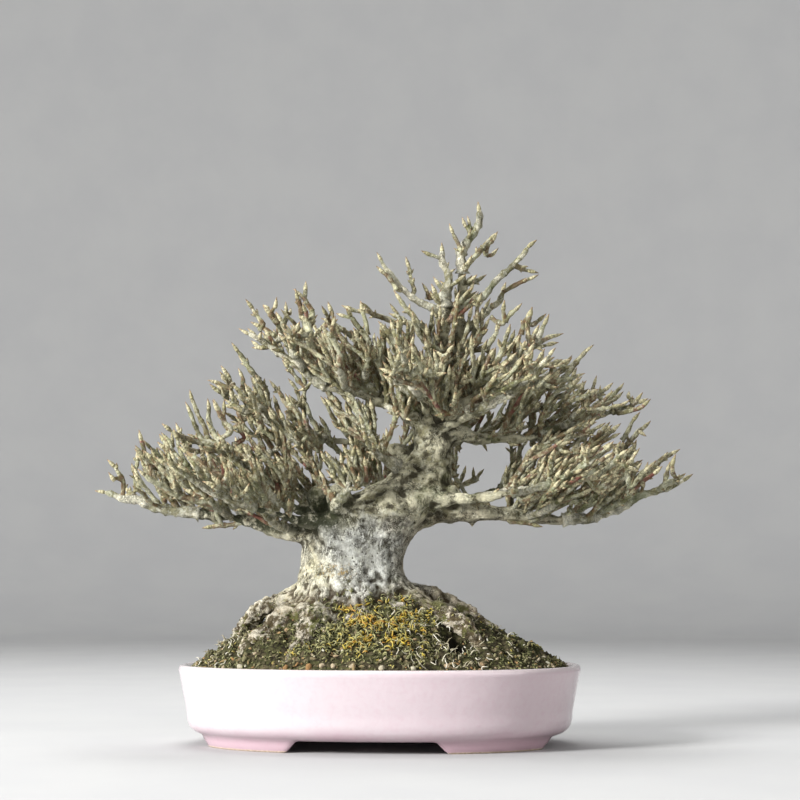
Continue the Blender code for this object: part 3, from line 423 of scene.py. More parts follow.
def from_trunk(tip):
    """The level way from the trunk's line to a tip."""
    return np.array([tip[0] - LEAN * min(1, tip[2] / LEAN_HEIGHT), tip[1], 0.0])


def rising(out, far, rise):
    """A level way, as long as its share of far and one at most, with a rise added, made of length one."""
    reach = float(np.linalg.norm(out))
    return unit(out / max(reach, 1e-6) * min(1.0, reach / far) + np.array([0, 0, rise]))


def growth_way(tip):
    """The way that twigs grow: up and outwards from the trunk's line, more upwards near it."""
    return rising(from_trunk(tip), 70, 0.9)


def twig_points(start, way, tip, growth, rng, step):
    """A bent line from start to tip, leaving along a mix of the parent's way and its own, wavering a
    little."""
    far = float(np.linalg.norm(tip - start))
    aim = unit(tip - start)
    a = start + unit(0.5 * way + aim) * far * 0.35
    b = tip - unit(growth + 0.6 * aim) * far * 0.35
    count = max(2, round(far / step))
    out = []
    for k in range(count + 1):
        t = k / count
        p = (1 - t) ** 3 * start + 3 * t * (1 - t) ** 2 * a + 3 * t * t * (1 - t) * b + t ** 3 * tip
        if 0 < k < count:
            p = p + np.array([rng.gauss(0, 0.05) for _ in range(3)]) * min(far / count, 9)
        out.append(p)
    return np.array(out)


def cloud_point(cloud, rng, least, power, size=1.0):
    """A point in a cloud of tips: some way from its centre, as far out as a chance from least to one, raised
    to the power's inverse, times the half lengths, and leaning."""
    (cx, cy, cz), (hx, hy, hz), lean, _ = cloud
    q = np.array([rng.gauss(0, 1) for _ in range(3)])
    q = unit(q) * size * rng.uniform(least, 1.0) ** (1 / power)
    return np.array([cx + q[0] * hx, cy + q[1] * hy, cz + q[2] * hz + lean * q[0] * hx])


def cloud_tips(rng, fixed):
    """Tips scattered through the clouds, none nearer to another than TIP_SPACING."""
    taken = [np.array(t, dtype=float) for t in fixed]
    for cloud in CLOUDS:
        wanted = len(taken) + cloud[3]
        for _ in range(cloud[3] * 30):
            if len(taken) == wanted:
                break
            p = cloud_point(cloud, rng, 0.15, 2.2)
            if min(float(np.linalg.norm(p - t)) for t in taken) >= TIP_SPACING:
                taken.append(p)
    return taken[len(fixed):]


def grow():
    """The whole tree's stems: limbs, their side branches, then a twig to every tip, the nearest tips
    first."""
    rng = random.Random(TREE_SEED)
    tree = Skeleton()
    limbs = {}
    for name, line in LIMBS.items():
        line = ease(line, STEP)
        limbs[name] = tree.add(line[:, :3], np.maximum(line[:, 3], 0.2), None, 0.3, 0.93)
    for name, reach in REACH.items():
        stem = tree.stems[limbs[name]]
        points = stem["points"]
        side = rng.choice((-1, 1))
        for i in range(3, len(points) - 2, 2):
            share = i / (len(points) - 1)
            way = unit(points[i + 1] - points[i - 1])
            across = unit(np.cross(way, (0, 0, 1))) * side
            side = -side
            length = reach * (1.15 - 0.75 * share) * rng.uniform(0.85, 1.15)
            end = points[i] + (across * 0.85 + way * 0.6 + np.array([0, 0, 0.35])) * length
            line = twig_points(points[i], way, end, growth_way(end), rng, STEP)
            tree.add(line, None, (limbs[name], i), 0.25, 0.8)
    tips = [np.array(t, dtype=float) for t in TIPS] + cloud_tips(rng, TIPS)
    order = sorted(tips, key=lambda t: float(np.min(np.linalg.norm(tree.place - t, axis=1))))
    for tip in order:
        growth = growth_way(tip)
        k = tree.start_for(tip, growth)
        line = twig_points(tree.place[k], tree.way[k], tip, growth, rng, STEP)
        if tree.clear_of_others(line):
            tree.add(line, None, tree.owner[k], 0.3, 0.7)
    for stem in reversed(tree.stems):
        stem["load"] = stem["load"] + 1
        if stem["parent"]:
            tree.stems[stem["parent"][0]]["load"][:stem["parent"][1] + 1] += stem["load"][0]
    for stem in tree.stems:
        if stem["radii"] is None:
            stem["radii"] = TWIG_RADIUS * stem["load"] ** PIPE_POWER
    return tree


def rowed(points):
    """Turns points of the tree's frame by TREE_TURN about the upright axis and moves them to the row's
    frame."""
    p = np.asarray(points, dtype=float)
    c, s = math.cos(TREE_TURN), math.sin(TREE_TURN)
    x = p[..., 0] * c - p[..., 1] * s
    y = p[..., 0] * s + p[..., 1] * c
    return np.stack([x, y, p[..., 2]], axis=-1) + np.array(SHIFT)


def potted(points):
    """Moves points of the pot's frame to the row's frame."""
    return np.asarray(points, dtype=float) + np.array(SHIFT)


def units(v):
    """Each vector made of length one."""
    return v / np.maximum(np.linalg.norm(v, axis=-1, keepdims=True), 1e-9)


def chance(cells, salt):
    """A number from 0 to 1 for each triple of whole numbers: products with odd constants, mixed by shifts."""
    h = cells[..., 0] * 374761393 + cells[..., 1] * 668265263 + cells[..., 2] * 1440670441 + salt * 1274126177
    h = (h ^ (h >> 13)) & 0xFFFFFFFF
    h = (h * 1103515245 + 12345) & 0xFFFFFFFF
    h = (h ^ (h >> 16)) & 0xFFFFFFFF
    h = (h * 1103515245 + 12345) & 0xFFFFFFFF
    return (h ^ (h >> 15)) / 4294967295.0


def ripple(points, scale, salt=0):
    """Smooth noise from -1 to 1: the chances at the eight corners of each point's cell, blended by eased
    shares. Each salt gives another such noise."""
    q = np.asarray(points, dtype=float) / scale
    base = np.floor(q).astype(np.int64)
    share = q - base
    share = share * share * (3 - 2 * share)
    total = np.zeros(q.shape[:-1])
    for corner in range(8):
        step = np.array([corner & 1, corner >> 1 & 1, corner >> 2])
        weight = np.prod(np.where(step == 1, share, 1 - share), axis=-1)
        total += weight * chance(base + step, salt)
    return 2 * total - 1


def crumple(points, scale, octaves, salt=0):
    """Ripples added up, each half as wide and half as high as the one before; from -1 to 1."""
    total = 0
    for k in range(octaves):
        total = total + ripple(points, scale / 2 ** k, salt + k) / 2 ** k
    return total / (2 - 2 / 2 ** octaves)


def nearest(points, scale, salt=0):
    """The distances to the nearest and second nearest of seeds strewn one to a cell, in cells."""
    q = np.asarray(points, dtype=float) / scale
    base = np.floor(q).astype(np.int64)
    first = np.full(q.shape[:-1], 9.0)
    second = first.copy()
    for k in range(27):
        cell = base + np.array([k % 3 - 1, k // 3 % 3 - 1, k // 9 - 1])
        seed = np.stack([chance(cell, salt), chance(cell, salt + 1), chance(cell, salt + 2)], axis=-1)
        far = np.linalg.norm(cell + seed - q, axis=-1)
        closer = far < first
        second = np.where(closer, first, np.minimum(second, far))
        first = np.where(closer, far, first)
    return first, second


def wander(points, amount, scale, salt):
    """Shifts points by three ripples, one along each axis, so that lines that meet still meet."""
    return points + amount * np.stack([ripple(points, scale, salt + k) for k in range(3)], axis=-1)


def strayed(points):
    """The wandering that all stems and buds share."""
    return wander(points, WANDER, WANDER_SCALE, WANDER_SALT)


def stretched(values, count):
    """A row of values read at count even steps."""
    return np.interp(np.linspace(0, 1, count), np.linspace(0, 1, len(values)), values)


def eased(x, low, high):
    """Nought below low, one above high, and a smooth rise between (cubic)."""
    t = np.clip((np.asarray(x, dtype=float) - low) / (high - low), 0, 1)
    return t * t * (3 - 2 * t)


def grid_faces(rows, columns):
    """The quads of a grid of points whose rows are rings."""
    i = np.arange(rows - 1)[:, None] * columns
    j = np.arange(columns)[None, :]
    k = (j + 1) % columns
    return np.stack([i + j, i + k, i + columns + k, i + columns + j], axis=-1).reshape(-1, 4)


def pole_faces(rows, columns):
    """The triangles between such a grid's first and last rings and two poles, whose points follow the
    grid's."""
    j = np.arange(columns)
    k = (j + 1) % columns
    last = (rows - 1) * columns
    pole = np.full(columns, rows * columns)
    low = np.stack([pole, k, j], axis=-1)
    high = np.stack([pole + 1, last + j, last + k], axis=-1)
    return np.concatenate([low, high])


def tubes(lines, radii, sides, roll=0.0):
    """Closed tubes, one for each line: round every point a ring stands square to the line at that point's
    radius, its points at equal angles from a fixed direction, and a pole closes each end.

    lines is (tubes, points, 3), radii (tubes, points) or (tubes, points, sides). Gives the points, quads
    and triangles of all of them, and for each point its share of the way along.
    """
    lines = np.asarray(lines, dtype=float)
    count, rings, _ = lines.shape
    if radii.ndim == 2:
        radii = np.repeat(radii[:, :, None], sides, axis=2)
    along = units(np.gradient(lines, axis=1))
    whole = lines[:, -1] - lines[:, 0]
    fixed = np.eye(3)[np.argmin(np.abs(whole), axis=1)][:, None, :]
    side = units(fixed - np.sum(fixed * along, axis=-1, keepdims=True) * along)
    other = np.cross(along, side)
    angle = 2 * math.pi * np.arange(sides) / sides + np.broadcast_to(roll, count)[:, None]
    ring = (np.cos(angle)[:, None, :, None] * side[:, :, None, :]
            + np.sin(angle)[:, None, :, None] * other[:, :, None, :])
    points = lines[:, :, None, :] + radii[..., None] * ring
    points = points.reshape(count, rings * sides, 3)
    points = np.concatenate([points, lines[:, :1], lines[:, -1:]], axis=1)
    each = rings * sides + 2
    start = (np.arange(count) * each)[:, None, None]
    quads = (grid_faces(rings, sides)[None] + start).reshape(-1, 4)
    tris = (pole_faces(rings, sides)[None] + start).reshape(-1, 3)
    share = np.repeat(np.linspace(0, 1, rings), sides)
    share = np.tile(np.concatenate([share, [0, 1]]), count)
    return points.reshape(-1, 3), quads, tris, share


class Skin:
    """Gathers closed surfaces, with their faces numbered on through all of them."""

    def __init__(self):
        self.points = []
        self.quads = []
        self.tris = []
        self.count = 0

    def add(self, points, quads, tris):
        self.points.append(points)
        self.quads.append(quads + self.count)
        self.tris.append(tris + self.count)
        self.count += len(points)


def make_piece(name, slot, node, material, points, quads, tris=(), **notes):
    """Makes an object from points in millimetres in the row's frame, with the numbers that its material
    reads at each point, parents it to the root body and hides the model's node. The slot is not used."""
    tris = np.array(tris, dtype=int).reshape(-1, 3)
    mesh = bpy.data.meshes.new(name)
    mesh.vertices.add(len(points))
    mesh.vertices.foreach_set("co", (points * MM).astype(np.float32).ravel())
    corners = np.concatenate([quads.ravel(), tris.ravel()]).astype(np.int32)
    starts = np.concatenate([np.arange(len(quads)) * 4, len(quads) * 4 + np.arange(len(tris)) * 3])
    mesh.loops.add(len(corners))
    mesh.loops.foreach_set("vertex_index", corners)
    mesh.polygons.add(len(starts))
    mesh.polygons.foreach_set("loop_start", starts.astype(np.int32))
    mesh.update(calc_edges=True)
    mesh.shade_smooth()
    for note, values in notes.items():
        layer = mesh.attributes.new(note, "FLOAT", "POINT")
        layer.data.foreach_set("value", values.astype(np.float32))
    mesh.materials.append(material)
    made = bpy.data.objects.new(name, mesh)
    bpy.context.scene.collection.objects.link(made)
    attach(made, "root")
    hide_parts(node)


def welded(skin, voxel, smooth_steps):
    """One skin round all of a Skin's closed surfaces, by Blender's voxel remesh, then each point moved to the
    middle of its neighbours smooth_steps times, half way. Gives points in millimetres and quads."""
    mesh = bpy.data.meshes.new("weld")
    quads = np.concatenate(skin.quads)
    tris = np.concatenate(skin.tris)
    mesh.from_pydata((np.concatenate(skin.points) * MM).tolist(), [], quads.tolist() + tris.tolist())
    rough = bpy.data.objects.new("weld", mesh)
    bpy.context.scene.collection.objects.link(rough)
    remesh = rough.modifiers.new("weld", "REMESH")
    remesh.mode = "VOXEL"
    remesh.voxel_size = voxel * MM
    remesh.use_smooth_shade = True
    graph = bpy.context.evaluated_depsgraph_get()
    done = rough.evaluated_get(graph).to_mesh()
    points = np.empty(len(done.vertices) * 3)
    done.vertices.foreach_get("co", points)
    points = points.reshape(-1, 3) / MM
    corners = np.empty(len(done.loops), dtype=np.int64)
    done.loops.foreach_get("vertex_index", corners)
    sizes = np.empty(len(done.polygons), dtype=np.int64)
    done.polygons.foreach_get("loop_total", sizes)
    if sizes.min() < 4 or sizes.max() > 4:
        raise RuntimeError("the weld has faces that aren't quads")
    faces = corners.reshape(-1, 4)
    rough.evaluated_get(graph).to_mesh_clear()
    bpy.data.objects.remove(rough, do_unlink=True)
    for _ in range(smooth_steps):
        points = 0.5 * points + 0.5 * ring_mean(points, faces)
    return points, faces


def ring_mean(points, faces):
    """For each point the mean of the points that share an edge with it."""
    a = faces.ravel()
    b = np.roll(faces, -1, axis=1).ravel()
    count = len(points)
    total = np.stack([np.bincount(a, points[b, k], count) + np.bincount(b, points[a, k], count)
                      for k in range(3)], axis=-1)
    shared = np.bincount(a, minlength=count) + np.bincount(b, minlength=count)
    return total / np.maximum(shared, 1)[:, None]


def hollows(points, faces):
    """How deep each point lies below its surroundings, in millimetres: the way along its normal to the mean
    of its neighbours, taken seven times."""
    mean = points
    for _ in range(7):
        mean = ring_mean(mean, faces)
    return np.sum((mean - points) * outward(points, faces), axis=1)


def outward(points, faces):
    """The normal at each point: the sum of its faces' normals (crossed diagonals), made of length one."""
    cross = np.cross(points[faces[:, 2]] - points[faces[:, 0]], points[faces[:, 3]] - points[faces[:, 1]])
    return units(np.stack([np.bincount(faces.ravel(), np.repeat(cross[:, k], 4), len(points))
                           for k in range(3)], axis=-1))


def oval(inset, z, steps):
    """The pot's outline in plan, drawn in by inset: a squared ellipse, half sizes times powers of cosine
    and sine."""
    a = 2 * math.pi * np.arange(steps) / steps
    c, s = np.cos(a), np.sin(a)
    power = 2 / POT_SQUARENESS
    x = np.sign(c) * np.abs(c) ** power * (POT_LENGTH / 2 - inset)
    y = np.sign(s) * np.abs(s) ** power * (POT_DEPTH / 2 - inset)
    return np.stack([x, y, np.full(steps, float(z))], axis=-1)


def gap_roof(x, y):
    """How high the foot ring is cut away: GAP_HEIGHT within the gap's top width, and down to the ground
    with an eased slope at its foot width, at the front and back and at both ends."""
    front = 1 - eased(np.abs(x), FRONT_GAP[0] - 0.6, FRONT_GAP[1] + 0.6)
    end = 1 - eased(np.abs(y), END_GAP[0] - 0.6, END_GAP[1] + 0.6)
    return GAP_HEIGHT * np.maximum(front, end)


def half_loop(ring, side):
    """The half of a ring of points on one side of the middle line, closed along that line,
    counterclockwise."""
    steps = len(ring)
    a = np.arange(steps // 2 + 1) - steps // 4 + (0 if side > 0 else steps // 2)
    outer = ring[a % steps]
    middle = outer[-1] + (outer[0] - outer[-1]) * (np.arange(1, 24) / 24)[:, None]
    return np.concatenate([outer, middle])


def pot_surface(steps):
    """The section carried round the outline, its foot lifted to the gaps' roof; floors of straight lines from
    their edge to the drain holes' circles; and the holes' walls. Coinciding points are made one."""
    section = [*FOOT_SECTION, *ease(np.array(WALL_SECTION)[1:-1], 1.5)[:, :2].tolist(), WALL_SECTION[-1]]
    rings = np.array([oval(inset, z, steps) for inset, z in section])
    roof = gap_roof(rings[..., 0], rings[..., 1])
    rings[..., 2] = np.maximum(rings[..., 2], np.where(rings[..., 2] < 6, roof, 0))
    points = [rings.reshape(-1, 3)]
    faces = [grid_faces(len(section), steps)]
    count = len(points[0])
    for side in (-1, 1):
        upper = half_loop(rings[-1], side)
        lower = half_loop(rings[0], side)
        centre = np.array([side * DRAIN_X, 0, INNER_FLOOR])
        high = centre + units(upper - centre) * DRAIN_RADIUS
        low = high - np.array([0, 0, INNER_FLOOR - UNDERSIDE])
        shares = np.array([0, 0.4, 0.8, 1])[:, None, None]
        for outer, circle, turn in ((upper, high, 1), (lower, low, -1)):
            points.append((outer + (circle - outer) * shares).reshape(-1, 3))
            faces.append(grid_faces(4, len(outer))[:, ::turn] + count)
            count += len(points[-1])
        points.append(np.concatenate([high, low]))
        faces.append(grid_faces(2, len(high)) + count)
        count += len(points[-1])
    points = np.concatenate(points)
    faces = np.concatenate(faces)
    _, first, where = np.unique(np.round(points, 3), axis=0, return_index=True, return_inverse=True)
    return points[first], where.reshape(-1)[faces]


def ball(centre, radius):
    """A round lump: rings along an upright line, each ring's radius the circle's half chord at its height."""
    t = np.cos(np.linspace(math.pi, 0, 11))
    line = np.array(centre) + np.stack([0 * t, 0 * t, t * radius], axis=-1)
    return line[None], (radius * np.sqrt(np.maximum(1 - t * t, 0)))[None]


def trunk_column():
    """The trunk's sections, eased from one to the next: ellipses with a swell of three and five waves
    round."""
    sections = ease(TRUNK, 2.5)
    a = 2 * math.pi * np.arange(TRUNK_SIDES)[None, :] / TRUNK_SIDES
    x, y, z, half, deep = (sections[:, k][:, None] for k in range(5))
    flute = 1.6 + 1.0 * (1 - eased(z, 70, 80))
    swell = flute * (0.6 * np.sin(3 * a + 0.9 + z * 0.021) + 0.5 * np.sin(5 * a + z * 0.05))
    wide = half + swell * np.minimum(1, half / 20)
    rings = np.stack([x + np.cos(a) * wide, y + np.sin(a) * (wide - half + deep), z + 0 * a], axis=-1)
    points = np.concatenate([rings.reshape(-1, 3), sections[:1, :3], sections[-1:, :3]])
    return points, grid_faces(len(rings), TRUNK_SIDES), pole_faces(len(rings), TRUNK_SIDES)


def along_line(points, values, spacing):
    """A line's points and their values at equal steps, about spacing apart, between its two ends."""
    far = np.concatenate([[0], np.cumsum(np.linalg.norm(np.diff(points, axis=0), axis=1))])
    count = max(4, int(math.ceil(far[-1] / spacing)) + 1)
    at = np.linspace(0, far[-1], count)
    line = np.stack([np.interp(at, far, points[:, k]) for k in range(3)], axis=-1)
    return line, np.interp(at, far, values)


def slimmed(name, radii):
    """A limb's radii for the looks: the low limbs and the leader keep theirs, the others are a quarter
    thinner beyond their thick beginnings."""
    if name in ("low left", "low right", "leader", "knobbed"):
        return radii
    return radii * (0.72 + 0.28 * eased(radii, 3.4, 6.5))


def bark_relief(p):
    """How far bark stands out, from the point's place in the tree's frame: broad swellings, coarser lumps
    and pits near the ground, fine upright furrows on the column, and one healed ring-shaped wound."""
    low = 1 - eased(p[:, 2], 72, 92)
    upper = eased(p[:, 2], 84, 112)
    rise = 1.0 * crumple(p * np.array([1, 1, 0.6]), 11, 2, 11) - 0.5 - 0.5 * low
    lump = crumple(p, 6.0, 3, 21)
    rise += low * (2.8 * lump - 1.6 * np.maximum(0, lump - 0.15) + 1.5 * crumple(p, 3.1, 2, 27))
    first, second = nearest(p, 3.6, 31)
    rise += (1.1 * low + 0.25) * (np.minimum(second - first, 0.5) - 0.3)
    furrow = 1 - np.abs(crumple(p * np.array([1, 1, 0.4]), 4.0, 3, 41))
    rise -= (0.45 - 0.1 * low) * furrow ** 5
    rise += 1.3 * upper * crumple(p * np.array([0.7, 0.7, 1.3]), 4.0, 2, 51)
    q = wander(p, 2.6, 6, 55) - np.array([7, -25, 115])
    d = np.linalg.norm(q * np.array([0.8, 0.8, 1.15]), axis=1)
    return rise + 0.6 * np.exp(-((d - 4.6) / 1.5) ** 2) - 1.5 * np.exp(-(d / 1.8) ** 2)


def trunk_surface(voxel):
    """Trunk, surface roots, burls and the limbs' thick beginnings under one skin, with the bark's relief."""
    skin = Skin()
    skin.add(*trunk_column())
    for line in ROOTS:
        line = ease(line, 3.0)
        points = wander(line[:, :3], 1.6, 13, 61)
        knots = line[:, 3] * (1 + 0.16 * ripple(points, 7, 64))
        skin.add(*tubes(points[None], knots[None], 18)[:3])
    for *centre, radius in LUMPS:
        skin.add(*tubes(*ball(centre, radius), 16)[:3])
    for name, line in LIMBS.items():
        line = ease(line, 2.0)
        thick = line[:, 3] > THICK_LIMB
        end = max(4, int(np.argmin(thick))) + 2
        sizes = slimmed(name, line[:end, 3]) * (1 + 0.16 * ripple(line[:end, :3], 4.5, 67))
        skin.add(*tubes(strayed(line[None, :end, :3]), sizes[None], 14)[:3])
    points, faces = welded(skin, voxel, smooth_steps=6)
    points = points + outward(points, faces) * bark_relief(points)[:, None]
    return 0.85 * points + 0.15 * ring_mean(points, faces), faces


def in_hollow(p):
    """One in the middle of the mound's hollow, and less away from it (Gauss's bell)."""
    x, y, wide, deep, _ = HOLLOW
    return np.exp(-((p[..., 0] - x) / wide) ** 2 - ((p[..., 1] - y) / deep) ** 2)


def mound_height(x, y, inward, phases):
    """The mound: steep near the trunk and near the rim, with lumps made of crossed waves."""
    z = SOIL_EDGE + SOIL_RISE * (0.72 * inward + 0.28 * inward ** 0.6)
    lump = 0
    for i in range(0, 12, 2):
        a = phases[i]
        lump = lump + np.sin((x * math.cos(a) + y * math.sin(a)) * (0.28 + 0.07 * i) + phases[i + 1])
    return z + SOIL_LUMP * lump / 2.2 * np.minimum(1, 6 * inward)


def mound(x_edge, y_edge, inward):
    """Points of the mound on straight lines from the soil's edge to its centre, inward being the share of
    the way, and the height that clods and grains add."""
    rng = random.Random(GRAIN_SEED)
    phases = [rng.uniform(0, 6.28) for _ in range(12)]
    x = x_edge + (SOIL_CENTRE[0] - x_edge) * inward
    y = y_edge + (SOIL_CENTRE[1] - y_edge) * inward
    p = np.stack([x, y, mound_height(x, y, inward, phases)], axis=-1)
    clods = crumple(p, 9, 3, 71)
    large, _ = nearest(p, 4.2, 81)
    small, _ = nearest(p, 1.7, 91)
    rise = 3.4 * clods + 1.6 * (0.5 - large) + 0.5 * (0.5 - small) + 0.5 * (1 - eased(inward, 0.5, 0.7)) - 0.3
    p[..., 2] += rise * np.minimum(1, 8 * inward) * (1 - 0.5 * eased(inward, 0.6, 0.9))
    p[..., 2] -= HOLLOW[4] * in_hollow(p)
    return p


def soil_surface(steps, rows):
    """The mound's lines as a grid with a pole in the middle, closed below by the pot's inner wall and
    floor."""
    edge = oval(SOIL_INSET, SOIL_EDGE, steps)
    inward = (np.arange(rows) / rows) ** 1.1
    top = mound(edge[None, :, 0], edge[None, :, 1], inward[:, None])
    wall = np.array([oval(inset, z, steps) for inset, z in SOIL_WALL])
    rings = np.concatenate([wall, top])
    points = np.concatenate([rings.reshape(-1, 3), [[0, 0, SOIL_WALL[0][1]]],
                             mound(np.zeros(1), np.zeros(1), np.ones(1))])
    return points, grid_faces(len(rings), steps), pole_faces(len(rings), steps)


def shoot_way(tip):
    """The way that young shoots stream: upwards and away from the trunk's line, steeper on the left."""
    out = from_trunk(tip) * np.array([1, 0.8, 1])
    return rising(out, 60, 1.5 if out[0] < 0 else 1.0)


def add_shoot(tree, tip, wanted, clearance, rng):
    """Grows a shoot to the tip from the growing point that lies about the wanted way below it, where there
    is room."""
    growth = shoot_way(tip)
    v = tip - tree.place
    far = np.linalg.norm(v, axis=1) + 1e-6
    along = (v @ growth) / far
    cost = np.abs(far - wanted) / wanted + 3.0 * (1 - along) + 5 * (far < 9)
    k = int(np.argmin(cost))
    if cost[k] > 0.9:
        return False
    line = twig_points(tree.place[k], tree.way[k], tip, growth, rng, 6.5)
    left, right, low, high = SEEN_THROUGH
    if ((line[:, 0] > left) & (line[:, 0] < right) & (line[:, 2] > low) & (line[:, 2] < high)).any():
        return False
    if not tree.clear_of_others(line, clearance):
        return False
    tree.add(line, np.linspace(rng.uniform(1.0, 1.3), 0.88, len(line)), (0, 0), 0.25, 0.65)
    return True


def draw_shoots(tree, rng):
    """Grows the drawn shoots from the nearest stem to each one's foot, in place of twigs that end at the
    same tips. Gives the numbers of the stems that they replace, which nothing else grows from."""
    parents = {stem["parent"][0] for stem in tree.stems if stem["parent"]}
    drawn = np.array(DRAWN_SHOOTS, dtype=float)
    gone = {i for i, stem in enumerate(tree.stems) if i >= len(LIMBS) and i not in parents
            and np.hypot(*(drawn[:, :2] - stem["points"][-1][[0, 2]]).T).min() < 1.6}
    kept = [k for k, (i, _) in enumerate(tree.owner) if i not in gone]
    tree.place, tree.way = tree.place[kept], tree.way[kept]
    tree.owner = [tree.owner[k] for k in kept]
    tree.filled = np.vstack([ease(stem["points"], 1.5) for i, stem in enumerate(tree.stems) if i not in gone])
    for tip_x, tip_z, foot_x, foot_z, y in DRAWN_SHOOTS:
        foot = np.array([foot_x, y * 0.85, foot_z])
        tip = np.array([tip_x, y, tip_z])
        start = tree.filled[np.argmin(np.linalg.norm(tree.filled - foot, axis=1))]
        middle = (foot + tip) / 2 + np.array([rng.gauss(0, 0.5), rng.gauss(0, 0.5), rng.gauss(0, 0.3)])
        corners = [start, middle, tip] if np.linalg.norm(start - foot) < 4 else [start, foot, middle, tip]
        line = ease(np.array(corners), 5.0)
        tree.add(line, np.linspace(1.35, 0.92, len(line)), (0, 0), 0.3, 0.7)
    return gone


@functools.lru_cache(maxsize=2)
def tree_lines(count):
    """The stems of the solids and up to count finer shoots between them, as points, radii and whether it is
    a twig or shoot, and not a limb or side branch."""
    tree = grow()
    rng = random.Random(SHOOT_SEED)
    gone = draw_shoots(tree, rng)
    ends = np.array([stem["points"][-1] for stem in tree.stems])
    for tip in np.array(TIPS, dtype=float):
        if np.linalg.norm(ends - tip, axis=1).min() > 1.5:
            add_shoot(tree, tip, wanted=20, clearance=0.8, rng=rng)
    clouds = CLOUDS + GAP_CLOUDS
    weights = [cloud[3] for cloud in clouds]
    shoots = 0
    for _ in range(count * 9):
        if shoots == count:
            break
        tip = cloud_point(rng.choices(clouds, weights)[0], rng, 0.05, 2.6, 0.84)
        shoots += add_shoot(tree, tip, wanted=rng.uniform(13, 30), clearance=2.0, rng=rng)
    return [(stem["points"], stem["radii"], i >= len(LIMBS) and stem["radii"][0] <= THICK_TWIG)
            for i, stem in enumerate(tree.stems) if i not in gone]


def stem_tubes(stems, spacing, sides, relief):
    """Tubes along many stems at once, those with like numbers of rings together. A stem swells at its
    nodes, which come NODE_SPACING apart, and its radius ripples; every point then moves in or out by finer
    ripples.

    stems holds (points, radii, note) each. Gives points, quads, triangles, and each point's note and
    radius.
    """
    groups = {}
    for points, radii, note in stems:
        fine = ease(points, spacing * 1.5) if len(points) > 2 else points
        line, sizes = along_line(fine, stretched(radii, len(fine)), spacing)
        rings = next((n for n in RING_COUNTS if n >= len(line)), RING_COUNTS[-1])
        line = np.stack([stretched(line[:, k], rings) for k in range(3)], axis=-1)
        groups.setdefault(rings, []).append((line, stretched(sizes, rings), note))
    out = ([], [], [], [], [])
    count = 0
    for rings, members in groups.items():
        lines, sizes, notes = (np.array(values) for values in zip(*members))
        far = np.linalg.norm(np.diff(lines, axis=1), axis=2).sum(axis=1)[:, None] * np.linspace(0, 1, rings)
        node = np.abs(far / NODE_SPACING - np.round(far / NODE_SPACING)) * NODE_SPACING
        sizes = sizes * (1 + 0.3 * np.exp(-(node / 0.9) ** 2) + 0.2 * ripple(lines, 2.8, 111))
        lines = strayed(lines)
        points, quads, tris, _ = tubes(lines, sizes, sides, notes * 40)
        each = rings * sides + 2
        centre, girth = (np.concatenate([np.repeat(v, sides, axis=1), v[:, :1], v[:, -1:]], axis=1)
                         for v in (lines, sizes))
        centre, girth = centre.reshape(-1, 3), girth.ravel()
        points = centre + (points - centre) * (1 + relief * crumple(points, 2.2, 2, 121)[:, None])
        for bag, values in zip(out, (points, quads + count, tris + count, np.repeat(notes, each), girth)):
            bag.append(values)
        count += len(points)
    return tuple(np.concatenate(bag) for bag in out)


def limb_stems():
    """The limbs from where they leave the trunk's skin, and their side branches."""
    out = []
    names = list(LIMBS)
    for i, (points, radii, is_twig) in enumerate(tree_lines(bpy.context.scene.bonsai_sizes.shoots)):
        if is_twig:
            continue
        thin = np.argmax(radii < THICK_LIMB) if (radii < THICK_LIMB).any() else len(radii) - 1
        radii = slimmed(names[i], radii) if i < len(names) else radii * 0.85
        if i < len(names) and thin > 0:
            start = max(0, thin - 1)
            points, radii = points[start:], radii[start:]
        if len(points) > 1:
            out.append(bud_cut(points, radii, 0.1))
    return out


def bud_cut(points, radii, note):
    """Shortens a stem by its end bud's length, and rounds off its radius there."""
    points = ease(points, 3.0)
    radii = stretched(radii, len(points))
    tip = points[-1]
    keep = np.linalg.norm(points - tip, axis=1) > BUD_CUT
    keep[0] = True
    line = np.vstack([points[keep], tip - unit(tip - points[-2]) * BUD_CUT])
    return line, np.maximum(np.append(radii[keep], BUD_SEAT), BUD_SEAT), note


def twig_stems():
    """Every twig and shoot, with a chance of its own as its note."""
    rng = random.Random(TREE_SEED + 1)
    return [bud_cut(points, radii, rng.random())
            for points, radii, is_twig in tree_lines(bpy.context.scene.bonsai_sizes.shoots) if is_twig]


def spindles(starts, ways, spans, sizes, profile, sides, bend, rng):
    """Pointed buds, all at once: a line from each start along its way, bent a little to one side, and round
    it rings with the profile's share of the bud's radius."""
    rings = len(profile)
    t = np.linspace(0, 1, rings)
    side = units(np.cross(ways, rng.normal(size=ways.shape)))
    lines = (starts[:, None] + ways[:, None] * (t[:, None] * spans[:, None, None])
             + side[:, None] * ((t * t)[None, :, None] * (bend * spans)[:, None, None]))
    radii = sizes[:, None] * np.array(profile)[None, :]
    return tubes(lines, radii, sides, rng.uniform(0, 6, len(starts)))


def end_buds():
    """Starts, ways and lengths of the bud at the end of every stem."""
    rng = random.Random(TREE_SEED + 2)
    starts, ways, sizes = [], [], []
    for points, _, _ in tree_lines(bpy.context.scene.bonsai_sizes.shoots):
        tip = points[-1]
        way = unit(tip - points[-2])
        length = BUD_LENGTH * rng.uniform(0.9, 1.05)
        starts.append(tip - way * length)
        ways.append(way)
        sizes.append(length)
    return strayed(np.array(starts)), np.array(ways), np.array(sizes)


